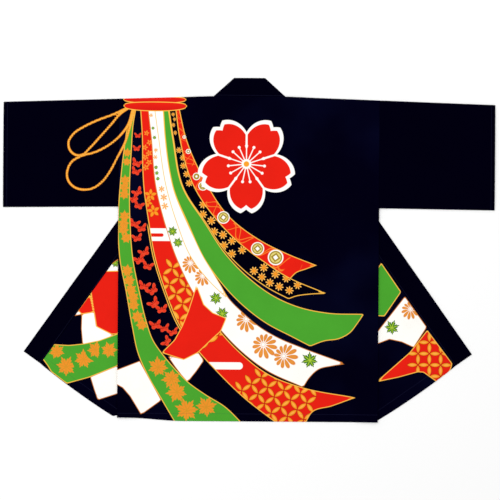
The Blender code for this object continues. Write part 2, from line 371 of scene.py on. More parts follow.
cordLoops = [
    [(-32.4, 37.3), (-36.3, 35.5), (-40.4, 33.9), (-43.9, 32.2), (-46.5, 30.4), (-47.8, 28.2), (-47.4, 26.0),
     (-45.7, 24.7), (-44.2, 24.8), (-42.2, 26.6), (-39.6, 29.5), (-36.7, 32.8), (-33.9, 36.0), (-32.0, 37.3)],
    [(-30.9, 37.1), (-32.1, 32.9), (-34.3, 29.9), (-37.1, 27.5), (-40.6, 25.6), (-44.6, 24.4), (-46.9, 23.0),
     (-48.1, 20.6), (-47.9, 18.1), (-46.3, 16.3), (-43.9, 15.6), (-41.3, 16.0), (-38.8, 17.8), (-36.7, 20.7),
     (-34.9, 24.2), (-33.0, 27.9), (-31.8, 31.6), (-30.4, 37.1)],
]

cord = {
    "radius": 0.0032,
    "turns": 900,  # radians of strand for each metre along and across
    "slant": 500,
    "step": 0.002,  # most that a place lies along from the nearest point of the path
    "near": 0.03,  # beyond this only the distance counts
    "strands": 0.6,
    "core": 0.7,
}

# Rows of motifs that follow a ribbon: x, y and radius in centimetres. Two rows let neighbours overlap.
motifRows = {
    "leafA": ("leaf", [
        (-32.3, 25.4, 1.23), (-32.8, 18.1, 1.51), (-32.9, 14.4, 1.51), (-32.9, 8.6, 1.62), (-33.1, 5.0, 1.62),
        (-32.0, -5.8, 1.75), (-31.1, -10.8, 1.65), (-30.2, -14.9, 1.65), (-28.1, -20.1, 1.70),
        (-23.7, -31.3, 2.80), (-18.7, -37.8, 2.80), (-10.9, -41.8, 2.80)]),
    "leafB": ("leaf", [
        (-32.4, 23.0, 1.23), (-33.0, 16.3, 1.51), (-33.0, 6.7, 1.62), (-32.4, 2.9, 1.62), (-31.5, -8.4, 1.70),
        (-30.4, -12.8, 1.75), (-29.3, -18.0, 1.80), (-20.1, -34.3, 2.69), (-16.0, -42.7, 3.08)]),
    "mothA": ("moth", [
        (-29.5, 30.1, 1.06), (-29.7, 22.8, 1.62), (-29.5, 15.1, 1.62), (-29.1, 11.6, 1.62), (-28.4, 5.6, 1.62),
        (-27.6, -0.8, 1.79), (-26.6, -4.4, 1.79), (-25.4, -10.8, 1.79), (-22.9, -15.8, 1.79),
        (-22.2, -20.9, 1.74), (-21.6, -24.4, 1.68)]),
    "mothB": ("moth", [
        (-29.8, 26.7, 1.18), (-29.9, 20.6, 1.51), (-30.5, 13.4, 1.51), (-30.2, 6.8, 1.62), (-29.5, 3.0, 1.57),
        (-28.9, -2.7, 1.79), (-27.5, -9.7, 1.79), (-25.0, -14.2, 1.79), (-24.5, -20.0, 1.79),
        (-19.9, -21.8, 1.74)]),
    "fanFlower": ("fan", [
        (-27.2, 30.7, 0.85), (-26.4, 28.2, 0.95), (-26.5, 25.4, 1.00), (-26.5, 22.9, 1.00), (-26.0, 14.3, 1.80),
        (-25.2, 10.1, 1.90)]),
    "fanFlowerB": ("fan", [
        (-27.6, 26.9, 0.95), (-27.5, 24.3, 1.00), (-27.3, 21.6, 1.00), (-26.7, 12.3, 1.35)]),
    "snowGold": ("snow", [
        (-26.0, 35.4, 0.55), (-24.7, 26.2, 0.60), (-24.8, 24.3, 0.60), (-23.1, 15.9, 0.85), (-22.5, 13.7, 0.95),
        (-22.2, 11.4, 0.95)]),
    "snowLeaf": ("snow", [
        (-25.5, 32.0, 0.54), (-25.1, 29.5, 0.59), (-24.6, 21.6, 0.63), (-24.4, 20.1, 0.63), (-24.1, 18.6, 0.63),
        (-20.1, 4.7, 1.57), (-18.7, 1.7, 1.73), (-8.5, -12.9, 2.11), (-6.8, -17.0, 2.00), (16.5, -29.2, 2.27)]),
    "daisyA": ("snow", [(-15.4, -3.6, 2.8), (-0.5, -18.4, 3.6), (9.5, -28.1, 4.0)]),
    "daisyB": ("snow", [(-12.1, -7.0, 2.8), (4.1, -25.1, 4.0)]),
    "nightA": ("night", [
        (-20.2, 35.7, 0.50), (-19.8, 34.4, 0.45), (-20.1, 32.9, 0.50), (-19.6, 30.8, 0.50),
        (-18.6, 26.2, 0.80), (-17.5, 24.2, 0.85), (-17.4, 22.1, 0.90), (-16.5, 19.9, 0.95),
        (-15.8, 17.5, 1.00), (-12.1, 11.9, 1.10), (-9.9, 7.6, 1.15), (-6.8, 3.9, 1.15), (-4.4, 2.3, 1.15),
        (-1.7, -0.1, 1.15), (4.1, -4.7, 1.20), (7.2, -6.4, 1.20), (10.1, -7.5, 1.15), (13.1, -9.3, 1.10)]),
    "nightB": ("night", [
        (-12.1, 9.3, 1.10), (-9.1, 4.7, 1.15), (-6.5, 1.1, 1.15), (-4.4, -1.1, 1.15), (1.5, -5.6, 1.15),
        (3.6, -7.2, 1.15), (5.7, -8.7, 1.15), (8.2, -9.7, 1.15), (10.9, -10.7, 1.10)]),
}
motifRoom = {
    "reach": 1.12,  # half the length of a motif's own stretch of ribbon, in radii
    "aside": 3,  # the distance to one side is kept within this, in radii
}

# Flat pieces of ribbon seen from their backs, and the ribbon ends on the fronts
shapes = {
    "backRed": [[(-13.7, -9.6), (-11.8, -14.6), (-9.4, -16.8), (-5.8, -18.2), (-7.2, -21.6), (-9.4, -23.6),
                 (-13.2, -27.3), (-16.9, -29.2), (-22.7, -27.4), (-19.4, -24.1), (-17.4, -20.4), (-15.8, -16.4),
                 (-14.6, -12.6)]],
    "backWhite": [[(-21.2, -28.2), (-16.9, -29.2), (-13.2, -27.3), (-11.7, -29.4), (-13.6, -32.2),
                   (-15.9, -35.1), (-17.6, -33.2), (-19.5, -30.7)],
                  [(-35.4, -32.4), (-28.6, -29.7), (-22.9, -40.0), (-28.1, -43.8), (-31.0, -39.0),
                   (-33.0, -36.7), (-35.4, -35.4)]],
    "leftWhite": [[(-34.4, -2.7), (-34.4, -5.9), (-38.0, -6.0), (-36.6, -4.3)],
                  [(-46.1, -17.8), (-44.8, -16.3), (-43.7, -17.3)],
                  [(-44.0, -17.4), (-40.8, -16.8), (-40.2, -20.6), (-35.6, -22.9), (-39.4, -24.5),
                   (-43.7, -25.4), (-44.1, -21.2)],
                  [(-41.6, -34.0), (-34.4, -31.0), (-34.4, -38.3), (-39.6, -40.0), (-40.6, -37.2)]],
    "leftRed": [[(-34.4, -5.9), (-37.8, -6.0), (-41.6, -11.5), (-41.1, -14.6), (-40.1, -20.6), (-36.1, -22.6),
                 (-34.4, -22.5)],
                [(-42.0, -12.3), (-45.0, -16.4), (-44.1, -17.3), (-41.0, -16.8), (-41.5, -14.2)]],
    "leftGreen": [[(-51.5, -25.5), (-47.4, -25.7), (-43.7, -25.3), (-39.4, -24.4), (-34.4, -22.5),
                   (-34.4, -30.9), (-41.9, -34.0), (-47.9, -35.7), (-52.0, -32.6), (-52.8, -31.2),
                   (-54.3, -29.2)]],
    "rightGreen": [[(33.9, -5.4), (35.2, -3.4), (40.4, -10.9), (36.1, -17.3), (33.9, -17.2)]],
    "rightWhite": [[(41.5, -12.2), (47.3, -20.2), (43.9, -25.5), (40.8, -24.1), (37.5, -23.4), (33.9, -24.8),
                    (33.9, -22.1)]],
    "rightRed": [[(47.5, -21.1), (54.1, -29.8), (53.7, -31.3), (52.6, -32.9), (50.2, -34.6), (46.6, -32.1),
                  (45.1, -32.0), (40.1, -33.4), (34.3, -34.7), (40.1, -29.5), (43.0, -26.9)]],
}


curve = {
    "samples": 260,
    "straightOn": 0.3,  # metres that an edge runs straight on beyond both its ends
    "straightSteps": 60,
}


def smoothPath(points):
    # cubic curve through the points: each span's end slopes come from the points on either side
    points = np.array(points) / 100
    run = np.concatenate([[0], np.cumsum(np.linalg.norm(np.diff(points, axis=0), axis=1))])
    slope = np.gradient(points, run, axis=0)
    at = np.linspace(0, run[-1], curve["samples"])
    span = np.clip(np.searchsorted(run, at, side="right") - 1, 0, len(run) - 2)
    length = (run[span + 1] - run[span])[:, None]
    t = ((at - run[span]) / length[:, 0])[:, None]
    start, end = points[span], points[span + 1]
    startSlope, endSlope = slope[span] * length, slope[span + 1] * length
    return ((2 * t**3 - 3 * t**2 + 1) * start + (t**3 - 2 * t**2 + t) * startSlope
            + (3 * t**2 - 2 * t**3) * end + (t**3 - t**2) * endSlope)


def besidePath(path, x, y):
    # for each place: the run along the path to its nearest point, and the distance to the path's left
    straightOn, share = curve["straightOn"], np.linspace(0, 1, curve["straightSteps"])[:, None]
    first = path[0] + (path[0] - path[1]) / np.linalg.norm(path[0] - path[1]) * straightOn
    last = path[-1] + (path[-1] - path[-2]) / np.linalg.norm(path[-1] - path[-2]) * straightOn
    before = first + share[:-1] * (path[0] - first)
    after = path[-1] + share[1:] * (last - path[-1])
    points = np.concatenate([before, path, after])
    direction = np.gradient(points, axis=0)
    direction /= np.linalg.norm(direction, axis=1, keepdims=True)
    run = np.concatenate([[0], np.cumsum(np.linalg.norm(np.diff(points, axis=0), axis=1))]) - straightOn
    squares = (x[:, None] - points[:, 0]) ** 2 + (y[:, None] - points[:, 1]) ** 2
    nearest = np.argmin(squares, axis=1)
    dx, dy = x - points[nearest, 0], y - points[nearest, 1]
    way = direction[nearest]
    along = run[nearest] + dx * way[:, 0] + dy * way[:, 1]
    return along, dy * way[:, 0] - dx * way[:, 1]


def insideShape(outline, x, y):
    # distance to the nearest side of a closed outline, positive inside it
    a = np.array(outline) / 100
    b = np.roll(a, -1, axis=0)
    side = b - a
    px, py = x[:, None] - a[:, 0], y[:, None] - a[:, 1]
    share = np.clip((px * side[:, 0] + py * side[:, 1]) / (side**2).sum(axis=1), 0, 1)
    distance = np.hypot(px - share * side[:, 0], py - share * side[:, 1]).min(axis=1)
    above = (a[:, 1] > y[:, None]) != (b[:, 1] > y[:, None])
    rise = np.where(side[:, 1] == 0, 1e-9, side[:, 1])
    crossing = x[:, None] < a[:, 0] + (y[:, None] - a[:, 1]) * side[:, 0] / rise
    return np.where((above & crossing).sum(axis=1) % 2 == 1, distance, -distance)


def shapeField(name, x, y):
    return np.max([insideShape(outline, x, y) for outline in shapes[name]], axis=0)


def cordDistance(path, x, y):
    # run along the path, signed distance across it, and plain distance from it
    squares = (x[:, None] - path[:, 0]) ** 2 + (y[:, None] - path[:, 1]) ** 2
    nearest = np.argmin(squares, axis=1)
    step = np.linalg.norm(np.diff(path, axis=0), axis=1)
    run = np.concatenate([[0], np.cumsum(step)])
    inner = np.clip(nearest, 1, len(path) - 2)
    way = path[inner + 1] - path[inner - 1]
    way /= np.linalg.norm(way, axis=1, keepdims=True)
    dx, dy = x - path[nearest, 0], y - path[nearest, 1]
    along = run[nearest] + np.clip(dx * way[:, 0] + dy * way[:, 1], -cord["step"], cord["step"])
    across = dy * way[:, 0] - dx * way[:, 1]
    far = np.sqrt(squares[np.arange(len(x)), nearest])
    across = np.where(far > cord["near"], far, across)
    return np.stack([along, across, far], axis=1)


def ribbonPlace(name, x, y):
    # run from the knot, distance from the ribbon's middle, and distance inside its outline, in metres
    leftEdge, rightEdge, end = ribbons[name]
    leftRun, leftSide = besidePath(smoothPath(edgeCurves[leftEdge]), x, y)
    rightRun, rightSide = besidePath(smoothPath(edgeCurves[rightEdge]), x, y)
    inside = np.minimum(leftSide, -rightSide)
    if end is not None:
        endSide = besidePath(smoothPath(edgeCurves[end]), x, y)[1]
        inside = np.minimum(inside, -endSide)
    return np.stack([(leftRun + rightRun) / 2, (leftSide + rightSide) / 2, inside], axis=1)


def rowField(rowName, place):
    # Number k + 0 at motif k's centre, k - 1/2 and k + 1/2 at the two ends of its stretch, and level in
    # the gaps; then the distance to one side of the motif's centre, in radii.
    ribbon, motifs = motifRows[rowName]
    x, y, radius = (np.array(column) / 100 for column in zip(*motifs))
    centre = ribbonPlace(ribbon, x, y)
    order = np.argsort(centre[:, 0])
    run, radius = centre[order, 0], radius[order]
    reach, aside = motifRoom["reach"], centre[order, 1]
    room = np.diff(run) / (2 * reach)
    radius = np.minimum(radius, np.minimum(np.append(room, 1), np.append(1, room)))
    ends = np.stack([run - reach * radius, run + reach * radius], axis=1).reshape(-1)
    numbers = np.stack([np.arange(len(run)) - 0.5, np.arange(len(run)) + 0.5], axis=1).reshape(-1)
    number = np.interp(place[:, 0], ends, numbers)
    side = place[:, 1] - np.interp(place[:, 0], ends, np.repeat(aside, 2))
    side = side / np.interp(place[:, 0], ends, np.repeat(radius, 2))
    return np.stack([number, np.clip(side, -motifRoom["aside"], motifRoom["aside"]), place[:, 2]], axis=1)


def backFields(x, y):
    places = {name: ribbonPlace(name, x, y) for name in ribbons}
    fields = {name: place[:, 2] for name, place in places.items()}
    fields.update({name: rowField(name, places[row[0]]) for name, row in motifRows.items()})
    fields["coinRun"] = places["coin"]
    fields.update(cordFields(x, y))
    fields.update({name: shapeField(name, x, y) for name in ("backRed", "backWhite")})
    return fields


def cordFields(x, y):
    return {"cord" + str(n): cordDistance(smoothPath(points), x, y) for n, points in enumerate(cordLoops)}


def frontFields(side):
    # the shapes of one front, by colour
    def fields(x, y):
        return {colour: shapeField(side + colour, x, y) for colour in ("White", "Red", "Green")}
    return fields


# Shader maths

class Wire:
    # a socket that can be used in an expression; every operation adds its Math node
    def __init__(self, tree, socket):
        self.tree = tree
        self.socket = socket

    def mathNode(self, operation, values, clamp=False):
        node = self.tree.nodes.new("ShaderNodeMath")
        node.operation = operation
        node.use_clamp = clamp
        for slot, value in zip(node.inputs, values):
            if isinstance(value, Wire):
                self.tree.links.new(value.socket, slot)
            else:
                slot.default_value = value
        return Wire(self.tree, node.outputs[0])

    def math(self, operation, *others, clamp=False):
        return self.mathNode(operation, (self, *others), clamp)

    def reversed(self, operation, other):
        return self.mathNode(operation, (other, self))

    def __add__(self, other):
        return self.math("ADD", other)

    __radd__ = __add__

    def __sub__(self, other):
        return self.math("SUBTRACT", other)

    def __rsub__(self, other):
        return self.reversed("SUBTRACT", other)

    def __mul__(self, other):
        return self.math("MULTIPLY", other)

    __rmul__ = __mul__

    def __truediv__(self, other):
        return self.math("DIVIDE", other)

    def __rtruediv__(self, other):
        return self.reversed("DIVIDE", other)

    def __pow__(self, other):
        return self.math("POWER", other)

    def __neg__(self):
        return self.math("MULTIPLY", -1.0)

    def __abs__(self):
        return self.math("ABSOLUTE")

    def above(self, limit, softness):
        # 0 below the limit, 1 above it, over a short straight step
        return ((self - limit) * (1 / softness)).math("ADD", 0.5, clamp=True)

    def least(self, other):
        return self.math("MINIMUM", other)

    def most(self, other):
        return self.math("MAXIMUM", other)

    def cell(self):
        return self.math("FLOOR")

    def part(self):
        return self.math("FRACT")

    def wave(self):
        return self.math("SINE")

    def cosine(self):
        return self.math("COSINE")


shineOfCotton = 0.004  # specular level: dyed cotton is matt


class Recipe:
    # the nodes of one material
    def __init__(self, name, roughness=0.9):
        self.material = bpy.data.materials.new(name)
        self.material.use_nodes = True
        self.tree = self.material.node_tree
        self.shader = self.tree.nodes["Principled BSDF"]
        self.shader.inputs["Roughness"].default_value = roughness
        self.shader.inputs["Specular IOR Level"].default_value = shineOfCotton

    def node(self, kind, settings=None, inputs=None):
        node = self.tree.nodes.new(kind)
        for name, value in (settings or {}).items():
            setattr(node, name, value)
        for name, value in (inputs or {}).items():
            slot = node.inputs[name]
            if isinstance(value, Wire):
                self.tree.links.new(value.socket, slot)
            else:
                slot.default_value = value
        return node

    def wire(self, socket):
        return Wire(self.tree, socket)

    def attribute(self, name):
        return self.wire(self.node("ShaderNodeAttribute", {"attribute_name": name}).outputs["Vector"])

    def number(self, name):
        return self.wire(self.node("ShaderNodeAttribute", {"attribute_name": name}).outputs["Fac"])

    def apart(self, vector):
        parts = self.node("ShaderNodeSeparateXYZ", None, {0: vector})
        return [self.wire(parts.outputs[n]) for n in range(3)]

    def place(self):
        return self.wire(self.node("ShaderNodeTexCoord").outputs["Object"])

    def vectorMath(self, operation, first, second=None, scale=None, output=0):
        inputs = {0: first}
        if second is not None:
            inputs[1] = second
        if scale is not None:
            inputs["Scale"] = scale
        return self.wire(self.node("ShaderNodeVectorMath", {"operation": operation}, inputs).outputs[output])

    def mix(self, factor, under, over, kind="RGBA"):
        # a Mix node has sockets of its own for each kind of value
        first, result = {"RGBA": (6, 2), "VECTOR": (4, 1)}[kind]
        node = self.node("ShaderNodeMix", {"data_type": kind}, {0: factor, first: under, first + 1: over})
        return self.wire(node.outputs[result])

    def turned(self, vector, angle):
        node = self.node("ShaderNodeVectorRotate", {"rotation_type": "Z_AXIS"}, {"Vector": vector, "Angle": angle})
        return self.wire(node.outputs[0])

    def noise(self, vector, scale, detail=2.0, roughness=0.5):
        node = self.node("ShaderNodeTexNoise", {"noise_dimensions": "3D"},
                         {"Vector": vector, "Scale": scale, "Detail": detail, "Roughness": roughness})
        return self.wire(node.outputs["Fac"])

    def feed(self, name, value):
        self.tree.links.new(value.socket, self.shader.inputs[name])


def linear(red, green, blue):
    # a colour given as screen values, turned into the light that a shader works in
    parts = [((c / 255 + 0.055) / 1.055) ** 2.4 if c > 10 else c / 255 / 12.92 for c in (red, green, blue)]
    return (*parts, 1.0)


inks = {
    "navy": linear(2, 1, 20),
    "navyDeep": linear(1, 0, 12),
    "navyWorn": linear(8, 12, 40),
    "red": linear(223, 32, 20),
    "redDeep": linear(150, 20, 16),
    "mothRed": linear(224, 56, 34),
    "daisy": linear(218, 126, 42),
    "green": linear(72, 158, 46),
    "white": linear(250, 248, 242),
    "gold": linear(240, 158, 44),
    "paleGold": linear(246, 186, 92),
    "lineGold": linear(246, 184, 74),
    "lineBrown": linear(206, 122, 52),
    "emberOrange": linear(244, 136, 46),
    "mapleGold": linear(230, 142, 42),
    "leafDark": linear(48, 104, 20),
    "leafYellow": linear(176, 200, 60),
    "mothPale": linear(244, 122, 70),
    "orange": linear(240, 148, 36),
    "leafGreen": linear(84, 142, 34),
    "coinGold": linear(158, 132, 30),
    "wrongSide": linear(34, 36, 66),
    "thread": linear(40, 42, 70),
    "coinPale": linear(222, 206, 120),
    "cordEdge": linear(214, 118, 24),
    "knotShade": linear(206, 26, 20),
}

print("colours and tables ready")


# Motifs. Each takes a place inside a unit circle and gives 1 on the motif, 0 off it.

def polar(recipe, spot):
    x, y, _ = recipe.apart(spot)
    angle = y.math("ARCTAN2", x)
    radius = recipe.vectorMath("LENGTH", spot, output=1)
    return angle, radius


def sectorPlace(angle, count, phase=0.5):
    # place across one of the equal sectors about the centre: 0 in its middle, a half at either side
    return (angle * (count / (2 * math.pi)) + phase).part() - 0.5


maple = {
    "lobes": 7,
    "heart": 0.46,  # reach between two lobes, in radii of the motif, as all lengths below
    "lobe": 0.38,  # how much further a lobe reaches
    "teeth": 0.34,
    "size": 0.97,
    "taller": 0.09,  # the lobes away from the stalk are longer by this
    "edge": 0.20,
    "rib": 0.040,
    "ribSoft": 0.03,
    "ribEnd": 0.80,
    "ribFade": 0.1,
    "ribShade": 0.22,
    "soft": 0.08,
}


def mapleMotif(recipe, spot):
    # Pointed lobes on a broad leaf, with a tooth on either side of each tip, and longer away from the
    # stalk. Gives the leaf, its inside and the fine ribs along its lobes.
    angle, radius = polar(recipe, spot)
    _, y, _ = recipe.apart(spot)
    sector = abs(sectorPlace(angle, maple["lobes"], 0.25)) * 2
    tooth = abs(sectorPlace(angle, 3 * maple["lobes"], 0.75)) * maple["teeth"]
    reach = (sector * maple["lobe"] + maple["heart"] + tooth) * (y * maple["taller"] + maple["size"])
    besideRib = radius * (1 - sector) * (math.pi / maple["lobes"])
    rib = (maple["rib"] - besideRib).above(0, maple["ribSoft"])
    rib = rib * (maple["ribEnd"] - radius).above(0, maple["ribFade"])
    body = (reach - radius).above(0, maple["soft"])
    return body, (reach - maple["edge"] - radius).above(0, maple["soft"]), rib


flower = {
    "narrow": 0.9,
    "petal": 0.80,
    "heart": 0.19,
    "tip": (0.55, 0.5),  # where the paler tips begin, and over what length
}


def flowerMotif(recipe, spot, petals=8, soft=0.12):
    # narrow round petals about a small heart; also how far out a place lies, for a paler tip
    angle, radius = polar(recipe, spot)
    petal = abs((angle * (petals / 2)).cosine()) ** flower["narrow"]
    body = (petal * flower["petal"] + flower["heart"] - radius).above(0, soft)
    return body, (radius - flower["tip"][0]).above(0, flower["tip"][1])


leafPetal = {
    "petals": 5,
    "middle": 0.56,  # of each petal, and half its length
    "half": 0.44,
    "width": 0.25,
    "soft": 0.10,
    "outline": 1.10,  # the drawn outline is larger than the petal by this
}


def leafPetalMotif(recipe, spot):
    # separate pointed petals, each the overlap of two arcs
    angle, radius = polar(recipe, spot)
    sector = sectorPlace(angle, leafPetal["petals"])
    sideways = abs(radius * sector * (2 * math.pi / leafPetal["petals"]))
    lengthwise = (radius - leafPetal["middle"]) * (1 / leafPetal["half"])
    width = leafPetal["width"] - lengthwise * lengthwise * leafPetal["width"]
    return (width - sideways).above(0, leafPetal["soft"])


daisy = {
    "petals": 12,
    "size": 0.80,
    "shorter": 0.20,  # petals towards its top are shorter by this
    "middle": 0.62,  # of each petal, and half its length
    "half": 0.40,
    "width": 0.205,
    "narrowest": 0.012,
    "ring": 0.13,
    "ringWidth": 0.022,
    "ringDash": 0.28,  # share of each sector that the dashed ring fills
    "petalEdge": (0.05, 0.35),  # limit and softness
    "core": (0.45, 0.3),
    "coreShade": 0.25,
}


def daisyMotif(recipe, spot):
    # Separate long petals on an oval plan: an ellipse in each sector, wider towards its outer end. Also
    # gives the petals' cores.
    angle, radius = polar(recipe, spot)
    _, y, _ = recipe.apart(spot)
    spread = radius / (daisy["size"] - y * daisy["shorter"])
    sector = sectorPlace(angle, daisy["petals"])
    sideways = radius * sector * (2 * math.pi / daisy["petals"])
    lengthwise = (spread - daisy["middle"]) * (1 / daisy["half"])
    breadth = radius * daisy["width"] + daisy["narrowest"]
    petal = 1 - (lengthwise * lengthwise + (sideways / breadth) ** 2)
    ring = (daisy["ringWidth"] - abs(radius - daisy["ring"])).above(0, 0.03)
    ring = ring * (daisy["ringDash"] - abs(sector)).above(0, 0.12)
    return petal.above(*daisy["petalEdge"]).most(ring), petal.above(*daisy["core"])


moth = {
    "fore": (0.50, 0.16, 0.30, 0.070),  # centre and the squares of both half widths, in radii
    "foreWay": (0.80, 0.60),
    "foreTaper": 0.22,
    "hind": (0.34, -0.36, 0.095, 0.062),
    "body": (0.0, -0.12, 0.012, 0.16),
    "rim": (0.12, 0.14),  # how far inside the wings' edges the rim's middle lies, and half its width
    "fold": (-0.10, 0.22, 0.045, 0.08),  # height, slope, half width and start
}


def mothMotif(recipe, spot):
    # two pairs of wings, mirrored about the body; also their pale rims and the dark line between them
    x, y, _ = recipe.apart(spot)
    side = abs(x)
    foreX, foreY, foreLong, foreWide = moth["fore"]
    wayX, wayY = moth["foreWay"]
    long = (side - foreX) * wayX + (y - foreY) * wayY
    wide = (y - foreY) * wayX - (side - foreX) * wayY
    fore = 1 - (long * long * (1 / foreLong) + (wide - long * moth["foreTaper"]) ** 2 * (1 / foreWide))
    hind, body = (1 - ((side - partX) ** 2 * (1 / partLong) + (y - partY) ** 2 * (1 / partWide))
                  for partX, partY, partLong, partWide in (moth["hind"], moth["body"]))
    wings = fore.most(hind)
    rim = (moth["rim"][1] - abs(wings - moth["rim"][0])).above(0, 0.1)
    foldY, foldSlope, foldWidth, foldStartX = moth["fold"]
    fold = (foldWidth - abs(y - foldY - side * foldSlope)).above(0, 0.05) * (side - foldStartX).above(0, 0.1)
    return wings.most(body).above(0.0, 0.25), rim, fold


ringLeaf = {
    "size": 0.445,  # square of a ring's radius, in cells
    "outline": 0.040,
    "midrib": 0.125,
    "midribShade": 0.6,
}

ringLattice = {  # on the back: a corner of the lattice, its step and its turn
    "corner": (-20.1, -5.0),
    "step": 3.10,
    "turn": 55.4,
}


def ringsMotif(u, v):
    # Interlocking rings on a square lattice: a leaf lies on each side of every cell, where the circles
    # of neighbouring cells overlap. Also gives the leaf's own place in the lattice.
    cellU, cellV = u.cell(), v.cell()
    p = abs(u - cellU - 0.5)
    q = abs(v - cellV - 0.5)
    first = ringLeaf["size"] - (p * p + (1 - q) ** 2)
    second = ringLeaf["size"] - (q * q + (1 - p) ** 2)
    which = first.math("GREATER_THAN", second)
    leafU = which * (cellU + 0.5) + (1 - which) * (u + 0.5).cell()
    leafV = which * (v + 0.5).cell() + (1 - which) * (cellV + 0.5)
    depth = first.most(second)
    return depth, leafU, leafV


def latticePlace(recipe, plan, corner, step, turn):
    # steps from a corner of a square lattice that is turned clockwise on the plan
    way = (math.cos(math.radians(turn)), -math.sin(math.radians(turn)), 0)
    other = (-way[1], way[0], 0)
    moved = recipe.vectorMath("SUBTRACT", plan, (corner[0] / 100, corner[1] / 100, 0))
    sized = recipe.vectorMath("SCALE", moved, scale=100 / step)
    return (recipe.vectorMath("DOT_PRODUCT", sized, way, output=1),
            recipe.vectorMath("DOT_PRODUCT", sized, other, output=1))


def ringsInk(recipe, ink, depth, shown):
    # gold leaves with a dark red outline and a fine midrib
    outline = depth.above(-ringLeaf["outline"], 0.02) * shown
    ink = recipe.mix(outline, ink, inks["redDeep"])
    ink = recipe.mix(depth.above(0.0, 0.02) * shown, ink, inks["orange"])
    return recipe.mix(depth.above(ringLeaf["midrib"], 0.03) * shown * ringLeaf["midribShade"], ink, inks["paleGold"])


def rowSpot(recipe, name, turn):
    # place inside the motif of a row, in radii, its top towards the knot; turned a little motif by motif
    number, side, inside = recipe.apart(recipe.attribute(name))
    cell = (number + 0.5).cell()
    along = (cell - number) * (2 * motifRoom["reach"])
    spot = recipe.wire(recipe.node("ShaderNodeCombineXYZ", None, {"X": side, "Y": along}).outputs[0])
    return recipe.turned(spot, (cell * 2.4).wave() * turn), inside


def stamps(recipe, plan, table):
    # local places of motifs set one by one: x, y, radius in centimetres and a turn in degrees
    local = None
    for x, y, radius, turn in table:
        moved = recipe.vectorMath("SUBTRACT", plan, (x / 100, y / 100, 0))
        sized = recipe.vectorMath("SCALE", moved, scale=100 / radius)
        turned = recipe.turned(sized, math.radians(turn))
        if local is None:
            local = turned
        else:
            near = recipe.vectorMath("LENGTH", turned, output=1).math("LESS_THAN", 1.15)
            local = recipe.mix(near, local, turned, "VECTOR")
    return local


weave = {
    "pitch": 0.00055,
    "slow": 14.0,  # scales of the uneven thread and of the slubs
    "fine": 900.0,
    "stretch": (1.0, 0.25, 1.0),
    "shade": (0.87, 0.16, 0.10),  # plain share, then shares of the slow and the fine unevenness
    "roughness": (0.78, 0.12, 0.06),
    "height": (0.5, 0.6, 0.7),  # rows, slow and fine
    "wrongSide": 0.86,
    "bump": 0.35,
    "depth": 0.00018,
}


def clothFinish(recipe, colour, plan):
    # Slub and weave: fine rows both ways, with a slow unevenness, in the colour, roughness and bump. The
    # wrong side of the cloth is plainer than its printed side.
    x, y, _ = recipe.apart(plan)
    slow = recipe.noise(plan, weave["slow"], 3.0)
    fine = recipe.noise(recipe.vectorMath("MULTIPLY", plan, weave["stretch"]), weave["fine"], 2.0)
    warp, weft = ((way * (2 * math.pi / weave["pitch"])).wave() for way in (x, y))
    plain, slowShare, fineShare = weave["shade"]
    shade = slow * slowShare + fine * fineShare + plain
    wrong = recipe.mix(weave["wrongSide"], colour, inks["wrongSide"])
    tinted, wrong = (recipe.vectorMath("SCALE", cloth, scale=shade) for cloth in (colour, wrong))
    side = recipe.number("rightSide")
    recipe.feed("Base Color", recipe.mix(side.above(0.42, 0.06), wrong, tinted))
    plain, slowShare, fineShare = weave["roughness"]
    recipe.feed("Roughness", slow * slowShare + fine * fineShare + plain)
    rowShare, slowShare, fineShare = weave["height"]
    height = warp * weft * rowShare + fine * fineShare + slow * slowShare
    bump = recipe.node("ShaderNodeBump", None,
                       {"Strength": weave["bump"], "Distance": weave["depth"], "Height": height})
    recipe.feed("Normal", recipe.wire(bump.outputs[0]))
    return recipe.material


stitches = {
    "pitch": 0.0034,
    "width": 0.0009,
    "length": 0.6,  # of the pitch
    "shade": 0.5,
}


def dashes(along, across):
    # a row of short stitches: on for three fifths of each pitch
    on = -(along * (1 / stitches["pitch"])).part().above(stitches["length"], 0.08) + 1
    return on * (stitches["width"] / 2 - abs(across)).above(0, 0.0003)


def sewn(recipe, colour, row):
    return recipe.mix(row * stitches["shade"], colour, inks["thread"])


def cordInk(recipe, colour):
    # the printed cord: gold, with slanting strokes and a darker edge
    for number in range(len(cordLoops)):
        along, across, far = recipe.apart(recipe.attribute("cord" + str(number)))
        strand = (along * cord["turns"] + across * cord["slant"]).wave() * 0.5 + 0.5
        body = recipe.mix(strand * cord["strands"], inks["gold"], inks["paleGold"])
        body = recipe.mix((abs(across) - cord["radius"] * cord["core"]).above(0, 0.0010), body, inks["cordEdge"])
        colour = recipe.mix((cord["radius"] - far).above(0, edgeBlur), colour, body)
    return colour


blossom = {
    "centre": (-0.7, 22.7),  # centimetres
    "radius": 12.5,
    "edging": 1.15,
    "turn": 18,
    "petals": 5,
    "bulge": 1.55,  # these and all below in radii
    "notch": (0.045, 0.09, 0.10),  # half width, softness and depth
    "inset": 0.03,
    "line": (0.020, 0.34, 0.62),  # half width, start and end of the white lines between petals
    "rays": 15,
    "ray": (0.011, 0.10, 0.36),
    "dot": (0.030, 0.385),  # radius, and distance from the middle
    "heart": (0.105, 0.06),
    "blur": 0.012,
}


